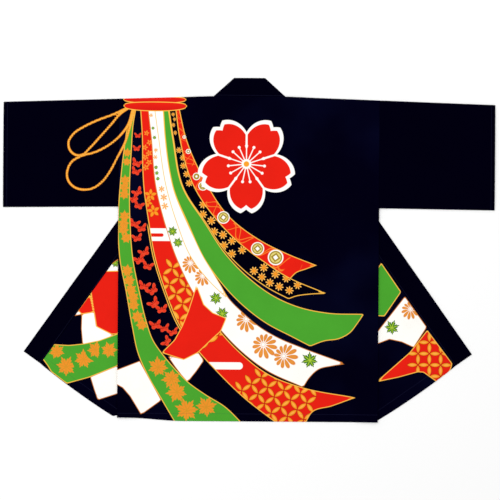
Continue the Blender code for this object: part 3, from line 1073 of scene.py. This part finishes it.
def blossomInk(recipe, colour, plan):
    # Five broad petals with a small notch in each: a generic cherry blossom in red, edged in white.
    spot = stamps(recipe, plan, [(*blossom["centre"], blossom["radius"], blossom["turn"])])
    angle, radius = polar(recipe, spot)
    sector = sectorPlace(angle, blossom["petals"])
    halfNotch, notchBlur, notchDepth = blossom["notch"]
    notch = (halfNotch - abs(sector)).above(0, notchBlur) * notchDepth
    reach = 1 - (sector * sector) * blossom["bulge"] - notch - blossom["inset"] - radius
    edging = blossom["edging"] / blossom["radius"]
    colour = recipe.mix((reach + edging).above(0, blossom["blur"]), colour, inks["white"])
    colour = recipe.mix(reach.above(0, blossom["blur"]), colour, inks["red"])

    def ringPart(start, end):
        return (radius - start).above(0, 0.02) * (end - radius).above(0, 0.02)

    # white lines where two petals meet, from near the heart to the outline
    halfLine, start, end = blossom["line"]
    between = (0.5 - abs(sector)) * radius * (2 * math.pi / blossom["petals"])
    colour = recipe.mix((halfLine - between).above(0, 0.010) * ringPart(start, end), colour, inks["white"])
    # stamens: fine rays with a dot at each end, about a small heart
    halfRay, start, end = blossom["ray"]
    besideRay = abs(sectorPlace(angle, blossom["rays"], 0)) * radius * (2 * math.pi / blossom["rays"])
    rays = (halfRay - besideRay).above(0, 0.008) * ringPart(start, end)
    dotRadius, dotPlace = blossom["dot"]
    dots = dotRadius - ((radius - dotPlace) ** 2 + besideRay * besideRay) ** 0.5
    white, gold = ((limit - radius).above(0, 0.01) for limit in blossom["heart"])
    colour = recipe.mix(rays.most(dots.above(0, 0.01)).most(white), colour, inks["white"])
    return recipe.mix(gold, colour, inks["gold"])


edgeBlur = 0.0008  # width of a printed edge
wideLine, fineLine = 0.0022, 0.0018

knot = {  # the two cords wound round the bundle
    "bands": [  # middle, half height, left and right end in centimetres, and the sag of its ends
        (39.5, 0.78, -33.2, -17.0, 0.0012),
        (37.75, 1.08, -33.1, -16.8, 0.0015),
    ],
    "fullness": 0.36,  # smaller is squarer
    "shade": 60,  # the lower side darkens by this for each metre
}


def knotInk(recipe, colour, plan):
    # two cords wound round the bundle, one above the other: red, edged in gold
    x, y, _ = recipe.apart(plan)
    for middle, halfHeight, left, right, sag in knot["bands"]:
        half = (right - left) / 200
        across = x - (left + right) / 200
        share = across * (1 / half)
        centre = (y - middle / 100) - share * share * sag
        height = ((1 - share * share).most(0.0) ** knot["fullness"]) * (halfHeight / 100)
        inside = (height - abs(centre)).least(half - abs(across))
        colour = recipe.mix((inside + wideLine).above(0, edgeBlur), colour, inks["lineGold"])
        lit = (centre * knot["shade"] + 0.5).math("ADD", 0.0, clamp=True)
        red = recipe.mix(lit, inks["knotShade"], inks["red"])
        colour = recipe.mix(inside.above(0, edgeBlur), colour, red)
    return colour


dye = {
    "patches": 6.0,
    "worn": 2.6,
    "wornFrom": (0.56, 0.16),  # limit and softness of the worn places
    "wornShade": 0.45,
    "plain": 0.75,  # how much more even and deep the sleeves and the band are
}


def navyGround(recipe, plan):
    # dyed cotton: uneven over a hand's breadth, and a little paler where it has been worn
    colour = recipe.mix(recipe.noise(plan, dye["patches"]), inks["navyDeep"], inks["navy"])
    worn = (recipe.noise(plan, dye["worn"], 3.0) - dye["wornFrom"][0]).above(0, dye["wornFrom"][1])
    return recipe.mix(worn * dye["wornShade"], colour, inks["navyWorn"])


def plainGround(recipe, plan):
    colour = recipe.mix(recipe.noise(plan, dye["patches"]), inks["navyDeep"], inks["navy"])
    return recipe.mix(dye["plain"], colour, inks["navyDeep"])


def laid(recipe, colour, inside, ink, line=wideLine, lineInk="lineGold"):
    # a ribbon over what lies below it, with a drawn line along its outline
    colour = recipe.mix(inside.above(0, edgeBlur), colour, ink)
    return recipe.mix((line / 2 - abs(inside)).above(0, edgeBlur), colour, inks[lineInk])


strokes = {
    "stretch": 2.6,  # the strokes lengthen with the logarithm of 1 + this times the run
    "turns": 96,
    "sweeps": ((1.0, 0.0, 0.9), (0.8, 2.1, 0.8)),  # turns, start and reach to either side
    "width": 0.11,
    "clear": 0.0016,
    "shade": 0.75,
}


def strokesInk(recipe):
    # red, with gold strokes that cross and lengthen down the ribbon
    run, aside, inside = recipe.apart(recipe.attribute("coinRun"))
    share = aside / (inside + abs(aside)).most(0.001)
    phase = (run * strokes["stretch"] + 1).math("LOGARITHM", math.e) * strokes["turns"]
    first, second = (abs(share - (phase * turns + start).wave() * reach)
                     for turns, start, reach in strokes["sweeps"])
    shown = (strokes["width"] - first.least(second)).above(0, 0.08) * inside.above(strokes["clear"], 0.001)
    shown = shown * (phase * 0.5).wave().above(-0.5, 0.2) * strokes["shade"]
    return recipe.mix(shown, inks["red"], inks["emberOrange"]), inside


coins = {
    "places": [  # x, y, radius in centimetres and a turn in degrees
        (-17.2, 29.7, 0.75, 0), (-16.1, 25.9, 0.9, 10), (-13.9, 19.3, 1.2, 20), (-12.2, 16.8, 1.4, 25),
        (-6.7, 8.5, 1.8, 35), (2.4, 0.3, 1.9, 50), (7.2, -2.0, 2.25, 55),
    ],
    "discs": [(0.92, 0.06, "white"), (0.78, 0.06, "coinGold"), (0.62, 0.08, "coinPale")],
    "squares": [(0.40, 0.06, "coinGold"), (0.22, 0.06, "white")],
}


def coinsInk(recipe, ink, plan):
    # old coins, round with a square hole, laid over the ribbon and its outline
    spot = stamps(recipe, plan, coins["places"])
    x, y, _ = recipe.apart(spot)
    for distance, layers in ((recipe.vectorMath("LENGTH", spot, output=1), coins["discs"]),
                             (abs(x).most(abs(y)), coins["squares"])):
        for limit, blur, name in layers:
            ink = recipe.mix((limit - distance).above(0, blur), ink, inks[name])
    return ink


fanPrint = {  # metres, but for the steps of the lattice
    "emberBelow": (0.17, 0.04),
    "upperRings": (-0.6, 7.2, 0.4),  # first and last step down the lattice, and the slant of its start
    "lowerRings": (11.2, 12.1, (0.568, 0.823)),
    "tab": (0.0383, 0.0167),  # middle and half height
    "slot": (-0.2295, 0.0372, 0.0046),  # end and half height
    "bar": (-0.0225, -0.308, 0.0095),
}


def fanInk(recipe, plan):
    # red: leaf-petalled flowers near the knot, a slotted white tab, rings below, and a white bar
    x, y, _ = recipe.apart(plan)
    ink = inks["red"]
    emberY, emberBlur = fanPrint["emberBelow"]
    for row in ("fanFlower", "fanFlowerB"):
        spot, inside = rowSpot(recipe, row, 0.6)
        outline = leafPetalMotif(recipe, spot)
        petals = leafPetalMotif(recipe, recipe.vectorMath("SCALE", spot, scale=leafPetal["outline"]))
        ink = recipe.mix(outline * 0.6, ink, inks["redDeep"])
        gold = recipe.mix((emberY - y).above(0, emberBlur), inks["emberOrange"], inks["orange"])
        ink = recipe.mix(petals, ink, gold)
    u, v = latticePlace(recipe, plan, **ringLattice)
    depth, leafU, leafV = ringsMotif(u, v)
    first, last, slant = fanPrint["upperRings"]
    upper = (leafU + leafV * slant).math("GREATER_THAN", first) * leafU.math("LESS_THAN", last)
    first, last, (slantU, slantV) = fanPrint["lowerRings"]
    lower = leafU.math("GREATER_THAN", first) * (leafU * slantU + leafV * slantV).math("LESS_THAN", last)
    ink = ringsInk(recipe, ink, depth, upper + lower)
    tabY, tabHalf = fanPrint["tab"]
    ink = recipe.mix((tabHalf - abs(y - tabY)).above(0, edgeBlur), ink, inks["white"])
    # the slot and the bar each run left from a round end
    for name, fill in (("slot", "red"), ("bar", "white")):
        endX, endY, half = fanPrint[name]
        fromEnd = ((y - endY) ** 2 + (x - endX).most(0.0) ** 2) ** 0.5
        ink = recipe.mix((half - fromEnd).above(0, edgeBlur), ink, inks[fill])
    return ink, inside


def leafInk(recipe, spot, ground):
    # a small green leaf with a dark edge and yellow ribs
    body, core, rib = mapleMotif(recipe, spot)
    ink = recipe.mix(body, ground, inks["leafDark"])
    ink = recipe.mix(core, ink, inks["leafGreen"])
    return recipe.mix(rib * core, ink, inks["leafYellow"])


def goldLeafInk(recipe, spot, ground, shown=1.0):
    # a gold maple leaf with faint ribs
    body, _, rib = mapleMotif(recipe, spot)
    ink = recipe.mix(body * shown, ground, inks["mapleGold"])
    return recipe.mix(body * rib * maple["ribShade"], ink, inks["leafGreen"])


def daisyInk(recipe, spot, ground):
    petals, core = daisyMotif(recipe, spot)
    ink = recipe.mix(petals, ground, inks["daisy"])
    return recipe.mix(core * daisy["coreShade"], ink, inks["paleGold"])


def snowInk(recipe):
    # white: small gold flowers and leaves near the knot, then daisies and maple leaves
    gold, inside = rowSpot(recipe, "snowGold", 1.0)
    leaf, _ = rowSpot(recipe, "snowLeaf", 0.7)
    body, _ = flowerMotif(recipe, gold, 6, 0.2)
    ink = recipe.mix(body * 0.9, inks["white"], inks["gold"])
    ink = leafInk(recipe, leaf, ink)
    for row in ("daisyA", "daisyB"):
        ink = daisyInk(recipe, rowSpot(recipe, row, 0.3)[0], ink)
    return ink, inside


twinLine = {  # the second gold line beside the fan ribbon
    "half": 0.0012,
    "beside": 0.0046,
    "from": (-0.22, 0.002),
    "to": (0.062, 0.01),
}


def printedBack():
    # what is drawn later lies over what is drawn before
    recipe = Recipe("printed back cotton")
    plan = recipe.place()
    x, y, _ = recipe.apart(plan)
    colour = navyGround(recipe, plan)

    # moths on the navy between two ribbons, as far as the turned-over red one
    for row in ("mothA", "mothB"):
        spot, inside = rowSpot(recipe, row, 0.5)
        body, rim, fold = mothMotif(recipe, spot)
        shown = body * inside.above(0.001, 0.001)
        colour = recipe.mix(shown, colour, inks["mothRed"])
        colour = recipe.mix(rim * shown * 0.4, colour, inks["mothPale"])
        colour = recipe.mix(fold * shown, colour, inks["redDeep"])

    ink, inside = fanInk(recipe, plan)
    (start, startBlur), (end, endBlur) = twinLine["from"], twinLine["to"]
    twin = (twinLine["half"] - abs(inside + twinLine["beside"])).above(0, edgeBlur)
    twin = twin * (y - start).above(0, startBlur) * (end - y).above(0, endBlur)
    colour = recipe.mix(twin, colour, inks["lineGold"])
    colour = laid(recipe, colour, inside, ink)
    ink, inside = snowInk(recipe)
    colour = laid(recipe, colour, inside, ink, fineLine, "lineBrown")
    colour = laid(recipe, colour, recipe.number("plain"), inks["white"], fineLine)
    colour = laid(recipe, colour, recipe.number("moss"), inks["green"])

    ink = inks["navyDeep"]
    for row in ("nightA", "nightB"):
        spot, inside = rowSpot(recipe, row, 1.2)
        body, tip = flowerMotif(recipe, spot)
        petals = recipe.mix(tip, inks["orange"], inks["paleGold"])
        ink = recipe.mix(body * inside.above(0.001, 0.001), ink, petals)
    colour = laid(recipe, colour, inside, ink)

    ink, inside = strokesInk(recipe)
    colour = laid(recipe, colour, inside, ink)
    colour = coinsInk(recipe, colour, plan)

    # backs of ribbons turned over
    colour = laid(recipe, colour, recipe.number("backWhite"), inks["white"], fineLine, "lineBrown")
    colour = laid(recipe, colour, recipe.number("backRed"), inks["red"])

    # green ribbon with maple leaves, over all but the cord and the knot
    ink = inks["green"]
    for row in ("leafA", "leafB"):
        spot, inside = rowSpot(recipe, row, 1.2)
        ink = goldLeafInk(recipe, spot, ink, inside.above(0.0008, 0.001))
    colour = laid(recipe, colour, inside, ink)

    colour = cordInk(recipe, colour)
    colour = knotInk(recipe, colour, plan)
    colour = blossomInk(recipe, colour, plan)
    colour = sewn(recipe, colour, dashes(x, y - (hemY + hems["body"])))
    return clothFinish(recipe, colour, plan)


frontPrint = {  # motifs on the folded-out ends: x, y, radius in centimetres and a turn in degrees
    "leftLeaves": [(-35.2, -3.8, 1.4, 0)],
    "leftGold": [(-50.6, -27.4, 2.2, 0), (-48.1, -31.3, 2.8, 25), (-43.5, -29.3, 2.7, 50),
                 (-40.3, -26.9, 2.4, 10), (-36.8, -26.9, 2.3, 35)],
    "rightDaisies": [(43.0, -15.4, 2.8, 10)],
    "rightLeaves": [(38.1, -20.4, 2.1, 20)],
    "rings": {"corner": (45.1, -27.2), "step": 3.0, "turn": 0},
    "ringsFrom": -0.8,
}


def printedFront(side):
    recipe = Recipe("printed " + side + " front cotton")
    plan = recipe.place()
    x, y, _ = recipe.apart(plan)
    colour = navyGround(recipe, plan)
    white, red, green = (recipe.number(name) for name in ("White", "Red", "Green"))
    redInk, greenInk = inks["red"], inks["green"]
    whiteInk = leafInk(recipe, stamps(recipe, plan, frontPrint[side + "Leaves"]), inks["white"])
    if side == "left":
        greenInk = goldLeafInk(recipe, stamps(recipe, plan, frontPrint["leftGold"]), greenInk)
    else:
        whiteInk = daisyInk(recipe, stamps(recipe, plan, frontPrint["rightDaisies"]), whiteInk)
        u, v = latticePlace(recipe, plan, **frontPrint["rings"])
        depth, leafU, _ = ringsMotif(u, v)
        shown = leafU.math("GREATER_THAN", frontPrint["ringsFrom"]) * red.above(0.001, 0.001)
        redInk = ringsInk(recipe, redInk, depth, shown)
    colour = laid(recipe, colour, white, whiteInk, fineLine, "lineBrown")
    for inside, ink in ((red, redInk), (green, greenInk)):
        colour = laid(recipe, colour, inside, ink)
    along, out = bandPlace(x, y)
    row = dashes(out, along - hems["body"]) * (0.0 - out).above(0, 0.001)
    return clothFinish(recipe, sewn(recipe, colour, row), plan)


def sleeveCotton(side):
    # the sleeve at the wearer's left carries the outer ends of the cord's loops
    recipe = Recipe(side + " sleeve cotton")
    plan = recipe.place()
    x, y, _ = recipe.apart(plan)
    colour = plainGround(recipe, plan)
    if side == "left":
        colour = cordInk(recipe, colour)
    row = dashes(y, abs(x) - (cut["span"] / 2 - hems["cuff"]))
    return clothFinish(recipe, sewn(recipe, colour, row), plan)


def bandCotton():
    # plain, with a row of stitches beside the sewn edge: up each side, and across the neck
    recipe = Recipe("collar band cotton")
    plan = recipe.place()
    x, y, _ = recipe.apart(plan)
    along, out = bandPlace(x, y)
    sides = dashes(along, out - hems["band"]) * (shoulderTop - y).above(0, 0.001)
    neck = dashes(x, y - (shoulderTop + hems["band"])) * (halfNeck - abs(x)).above(0, 0.001)
    return clothFinish(recipe, sewn(recipe, plainGround(recipe, plan), sides.most(neck)), plan)


# Pieces

bodyGrid = {
    "rows": 150,  # from the hem to the top of the front's fold
    "upperRows": 14,
    "columns": 50,  # from the side seam to the fold
    "frontColumns": 48,
    "middleColumns": 48,  # of the back, from the fold to its middle
    "shoulderSteps": 10,
    "wrapRows": 3,
    "foldSteps": 9,
    "farColumns": 53,
    "shoulderFade": 0.03,  # creases of the back fade out this far below the shoulders
}


def frontPlan(columns):
    # rows of places on the wearer's left front, from its side seam in to the fold, hem to shoulder
    share = np.linspace(0, 1, columns + 1)
    y = np.linspace(frontHemY, foldTopY, bodyGrid["rows"] + 1)[:, None]
    x = -halfBody + share * (acrossCut(0, y) + halfBody)
    y = np.broadcast_to(y, x.shape)
    up = np.linspace(0, 1, bodyGrid["upperRows"] + 1)[1:, None]
    topX = -halfBody + share * (halfBody - halfNeck)
    topY = shoulderY(topX) - shoulderEdge - cut["wrap"] - cut["gap"]
    startX = -halfBody + share * cut["frontWidth"]
    upperX = startX + up * (topX - startX)
    upperY = foldTopY + up * (topY - foldTopY)
    return np.concatenate([x, upperX]), np.concatenate([y, upperY])


def halfTurn(steps):
    return np.linspace(0, math.pi, steps + 1)[1:-1]


def rolled(angle):
    # how far out and how far round a fold at the shoulder's radius has come
    return shoulderRadius * np.sin(angle), shoulderRadius * (1 - np.cos(angle))


openCloth = {  # the folded-out parts of the fronts
    "start": 0.012,  # past the side seam, where their creases begin to show
    "end": 0.05,
    "sag": 0.0045,  # the hem sags this far below the straight line
    "sagUp": 0.20,
    "tuck": 0.00005,
}


def clearOfBack(x):
    # 0 where the back lies over a folded-out part, and 1 where that part lies open
    return eased(x, halfBody + openCloth["start"], halfBody + openCloth["end"])


def makeBack():
    # hem to shoulders in rows, each row from one side seam to the other; then round the shoulder's fold
    columns = bodyGrid["columns"]
    x, y = frontPlan(columns)
    x = np.concatenate([x[:1], x, x[-1:]])
    shoulder = shoulderY(x[-1:]) - shoulderEdge
    y = np.concatenate([np.full_like(y[:1], hemY), y, shoulder])
    innerX = x[:, -1:] * (1 - np.linspace(0, 1, bodyGrid["middleColumns"] + 1)[1:])
    innerY = np.repeat(y[:, -1:], innerX.shape[1], axis=1)
    innerY[-1] = shoulderTop
    x = np.concatenate([x, innerX], axis=1)
    y = np.concatenate([y, innerY], axis=1)
    x = np.concatenate([x, -x[:, -2::-1]], axis=1)
    y = np.concatenate([y, y[:, -2::-1]], axis=1)
    fade = eased(shoulderTop - y, 0.0, bodyGrid["shoulderFade"])
    z = levelOfBack(x, y) + cut["cloth"] / 2 + creaseHeight(creases["back"], x, y) * fade
    flat = raised(x, y, z + hemHeight(y - hemY, hems["body"]))
    top = flat[-1]
    outward, down = rolled(halfTurn(bodyGrid["shoulderSteps"])[:, None])
    over = raised(top[:, 0], top[:, 1] + outward, top[:, 2] - down)
    underY = top[:, 1] - np.linspace(0, cut["wrap"], bodyGrid["wrapRows"])[:, None]
    under = raised(top[:, 0], underY, levelOfFront(top[:, 0], underY) + cut["cloth"] / 2)
    points = np.concatenate([flat, over, under])
    keep = np.ones((points.shape[0] - 1, points.shape[1] - 1), bool)
    keep[len(flat) - 1:, columns:-columns] = False
    piece = clothShell("backPanel", drawnUp(points), cut["cloth"], keep, fields=backFields)
    piece.data.materials.append(printedBack())
    return piece


def makeFront(side):
    # side seam in to the fold, round it, and out again to the band, on the same rows as the back
    foldRows, columns = bodyGrid["rows"] + 1, bodyGrid["frontColumns"]
    x, y = frontPlan(columns)
    near = raised(x, y, levelOfFront(x, y) + cut["cloth"] / 2)
    rows = y[:foldRows, :1]
    turned = halfTurn(bodyGrid["foldSteps"]) * foldRadius
    along = fromFold(acrossCut(turned, rows), rows)[0]
    out = foldRadius * np.sin(turned / foldRadius)
    place = foldStart + along[..., None] * alongFold + out[:, None] * acrossFold
    bendZ = cut["cloth"] / 2 + foldRadius * (1 + np.cos(turned / foldRadius))
    bend = raised(place[..., 0], place[..., 1], bendZ)
    firstX = acrossCut(math.pi * foldRadius, rows)
    share = np.linspace(0, 1, bodyGrid["farColumns"])
    cutX = firstX + share * (cut["gap"] + openCloth["tuck"] - frontSeamX - firstX)
    place = foldedOut(cutX, rows)
    sag = openCloth["sag"] * np.sin(math.pi * share) ** 0.7 * (1 - eased(rows - frontHemY, 0, openCloth["sagUp"]))
    place = place - sag[..., None] * alongEdge
    farX, farY = place[..., 0], place[..., 1]
    relief = creaseHeight(creases["front"], farX, farY)
    relief = relief + hemHeight(bandPlace(farX, farY)[0] + sag, hems["body"])
    far = raised(farX, farY, cut["cloth"] / 2 + relief * clearOfBack(-farX))
    lower = np.concatenate([near[:foldRows], bend, far], axis=1)
    spare = lower.shape[1] - near.shape[1]
    upper = np.concatenate([near[foldRows:], np.repeat(near[foldRows:, -1:], spare, axis=1)], axis=1)
    points = np.concatenate([lower, upper])
    keep = np.ones((points.shape[0] - 1, points.shape[1] - 1), bool)
    keep[foldRows - 1:, columns:] = False
    if side == "left":
        points = drawnUp(points)
    piece = clothShell(side + "Front", points, cut["cloth"], keep, rightSide=-1, mirror=side == "right",
                       fields=frontFields(side))
    piece.data.materials.append(printedFront(side))
    return piece


sleeve = {
    "rings": 63,
    "columns": 58,
    "foldSteps": 9,
    "seamFade": 0.04,  # creases fade out this far from the armhole
    "edgeFade": 0.02,  # and this far from the folds
    "hemFade": 0.01,
}


def makeSleeve(side):
    # rings of a flattened tube, from the armhole out to the cuff
    length = cut["span"] / 2 - halfBody - cut["gap"]
    out = np.linspace(0, length, sleeve["rings"])[:, None]
    x = -halfBody - cut["gap"] * eased(out, 0, cut["puffStart"]) - out
    top = shoulderY(x) - shoulderEdge
    bottom = shoulderTop - cut["armholeBottom"] - cut["sleeveTaper"] * out / length + shoulderEdge
    share = np.linspace(0, 1, sleeve["columns"])
    y = bottom + share * (top - bottom)
    puff = cut["sleevePuff"] * eased(out, 0, cut["puffStart"]) * np.sin(math.pi * share) ** 0.8
    lower = levelOfFront(x, y) + cut["cloth"] / 2
    fromFolds = np.minimum(top - y, y - bottom)
    held = eased(out, 0.0, sleeve["seamFade"]) * eased(fromFolds, 0.0, sleeve["edgeFade"])
    upper = lower + layerStep + puff + creaseHeight(creases["sleeve"], x, y) * held
    upper = upper + hemHeight(length - out, hems["cuff"]) * eased(fromFolds, 0.0, sleeve["hemFade"])
    outward, down = rolled(halfTurn(sleeve["foldSteps"]))
    ringY = np.concatenate([y, top + outward, y[:, ::-1], bottom - outward], axis=1)
    ringZ = np.concatenate([upper, upper[:, -1:] - down, lower[:, ::-1], lower[:, :1] + down], axis=1)
    piece = clothShell(side + "Sleeve", raised(x, ringY, ringZ), cut["cloth"], tube=True, mirror=side == "right",
                       fields=cordFields if side == "left" else None)
    piece.data.materials.append(sleeveCotton(side))
    return piece


band = {
    "sideSteps": 121,
    "turnSteps": 21,
    "turnShare": 0.8,  # how far along the turn at the neck the first stretch reaches
    "cornerSteps": 5,
    "neckSteps": 9,
    "columns": 12,
    "tuck": 0.0015,  # at the neck the sewn edge runs this far under the back
    "tuckFrom": 0.03,
    "clear": (0.002, 0.02),
}


def makeCollar():
    # one band with a sewn and a free edge, ruled between them, tip to tip
    neckCorner = np.array([-halfNeck, shoulderTop])
    topCorner = np.array([-cut["collarTopWidth"] / 2, collarTop])
    seamY = shoulderTop + cut["gap"]
    lines = np.stack([alongEdge, neckCorner - topCorner], axis=1)
    run = np.linalg.solve(lines, neckCorner - bandTip)[0]
    freeTurn = bandTip + run * alongEdge
    sewnTurn = bandFoot + alongEdge * (seamY - bandFoot[1]) / alongEdge[1]
    # the two edges in four stretches: up the side, round the turn, its corner, and half the neck
    share = np.linspace(0, 1, band["sideSteps"])[:, None]
    free = [bandTip + share * (freeTurn - bandTip)]
    sewnEdge = [free[0] - cut["bandWidth"] * outOfEdge]
    share = np.linspace(0, 1, band["turnSteps"])[1:, None]
    free.append(freeTurn + share * band["turnShare"] * (topCorner - freeTurn))
    sewnEdge.append(sewnEdge[0][-1] + share * (sewnTurn - sewnEdge[0][-1]))
    share = np.linspace(0, 1, band["cornerSteps"])[1:, None]
    innerTop = np.array([topCorner[0] / 2 + sewnTurn[0] / 2, seamY])
    free.append(free[1][-1] + share * (topCorner - free[1][-1]))
    sewnEdge.append(sewnTurn + share * (innerTop - sewnTurn))
    share = np.linspace(0, 1, band["neckSteps"])[1:, None]
    free.append(topCorner + share * (np.array([0, collarTop]) - topCorner))
    sewnEdge.append(innerTop + share * (np.array([0, seamY]) - innerTop))
    free, sewnEdge = np.concatenate(free), np.concatenate(sewnEdge)
    sewnEdge[:, 1] -= band["tuck"] * eased(sewnEdge[:, 1], shoulderTop - band["tuckFrom"], shoulderTop)
    across = np.linspace(0, 1, band["columns"])[:, None]
    plan = free[:, None] + across * (sewnEdge - free)[:, None]
    plan = np.concatenate([plan, plan[-2::-1] * np.array([-1, 1])])
    x, y = plan[..., 0], plan[..., 1]
    clear = np.maximum(clearOfBack(np.abs(x)), eased(y - shoulderTop, *band["clear"]))
    z = cut["band"] / 2 + creaseHeight(creases["collar"], x, y) * clear
    piece = clothShell("collarBand", raised(x, y, z)[:, ::-1], cut["band"], doubled=True)
    piece.data.materials.append(bandCotton())
    return piece


back = makeBack()
print("back panel made")
leftFront, rightFront = makeFront("left"), makeFront("right")
print("fronts made")
leftSleeve, rightSleeve = makeSleeve("left"), makeSleeve("right")
print("sleeves made")
collar = makeCollar()
print("collar band made")

for piece, node, slot in (
    (back, "back", "navy_cotton"),
    (leftFront, "front_left", "navy_cotton"),
    (rightFront, "front_right", "navy_cotton"),
    (leftSleeve, "sleeve_left", "navy_cotton"),
    (rightSleeve, "sleeve_right", "navy_cotton"),
    (collar, "collar", "band_cotton"),
):
    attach(piece, "root")
    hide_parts(node)

# Floor, light and camera

stage = {
    "floorSize": 6.0,
    "floorColour": (0.93, 0.93, 0.93, 1),
    "keySize": 3.0,
    "keyPower": 40.0,
    "keyPlace": (-1.1, 1.3, 2.6),
    "fill": 0.86,
    "sensor": 36.0,  # millimetres
    "distance": 3.2,
    "frameWidth": 1.325,
    "middle": (0.0040, -0.0007),
    "roll": 0.4,  # degrees, as the coat lies in the photograph
}

floorMesh = bpy.data.meshes.new("floor")
half = stage["floorSize"] / 2
floorCorners = [(-half, -half, 0), (half, -half, 0), (half, half, 0), (-half, half, 0)]
floorMesh.from_pydata(floorCorners, [], [(0, 1, 2, 3)])
floor = bpy.data.objects.new("floor", floorMesh)
bpy.context.scene.collection.objects.link(floor)
floorRecipe = Recipe("floor paper", 0.95)
floorRecipe.shader.inputs["Base Color"].default_value = stage["floorColour"]
floorMesh.materials.append(floorRecipe.material)

key = bpy.data.objects.new("key light", bpy.data.lights.new("key light", "AREA"))
key.data.shape = "SQUARE"
key.data.size = stage["keySize"]
key.data.energy = stage["keyPower"]
key.location = stage["keyPlace"]
bpy.context.scene.collection.objects.link(key)
# the light looks at the middle of the floor
keyX, keyY, keyZ = stage["keyPlace"]
key.rotation_euler = (math.atan2(math.hypot(keyX, keyY), keyZ), 0, math.atan2(keyY, keyX) + math.pi / 2)

world = bpy.data.worlds.new("studio")
bpy.context.scene.world = world
world.use_nodes = True
background = world.node_tree.nodes["Background"]
background.inputs["Color"].default_value = (1, 1, 1, 1)
background.inputs["Strength"].default_value = stage["fill"]

camera = bpy.data.objects.new("camera", bpy.data.cameras.new("camera"))
camera.data.sensor_width = stage["sensor"]
camera.data.lens = stage["sensor"] * stage["distance"] / stage["frameWidth"]
camera.location = (*stage["middle"], stage["distance"])
camera.rotation_euler = (0, 0, math.radians(stage["roll"]))
camera.data.clip_end = 50
bpy.context.scene.collection.objects.link(camera)
bpy.context.scene.camera = camera
bpy.context.scene.view_settings.view_transform = "Standard"
print("stage ready")
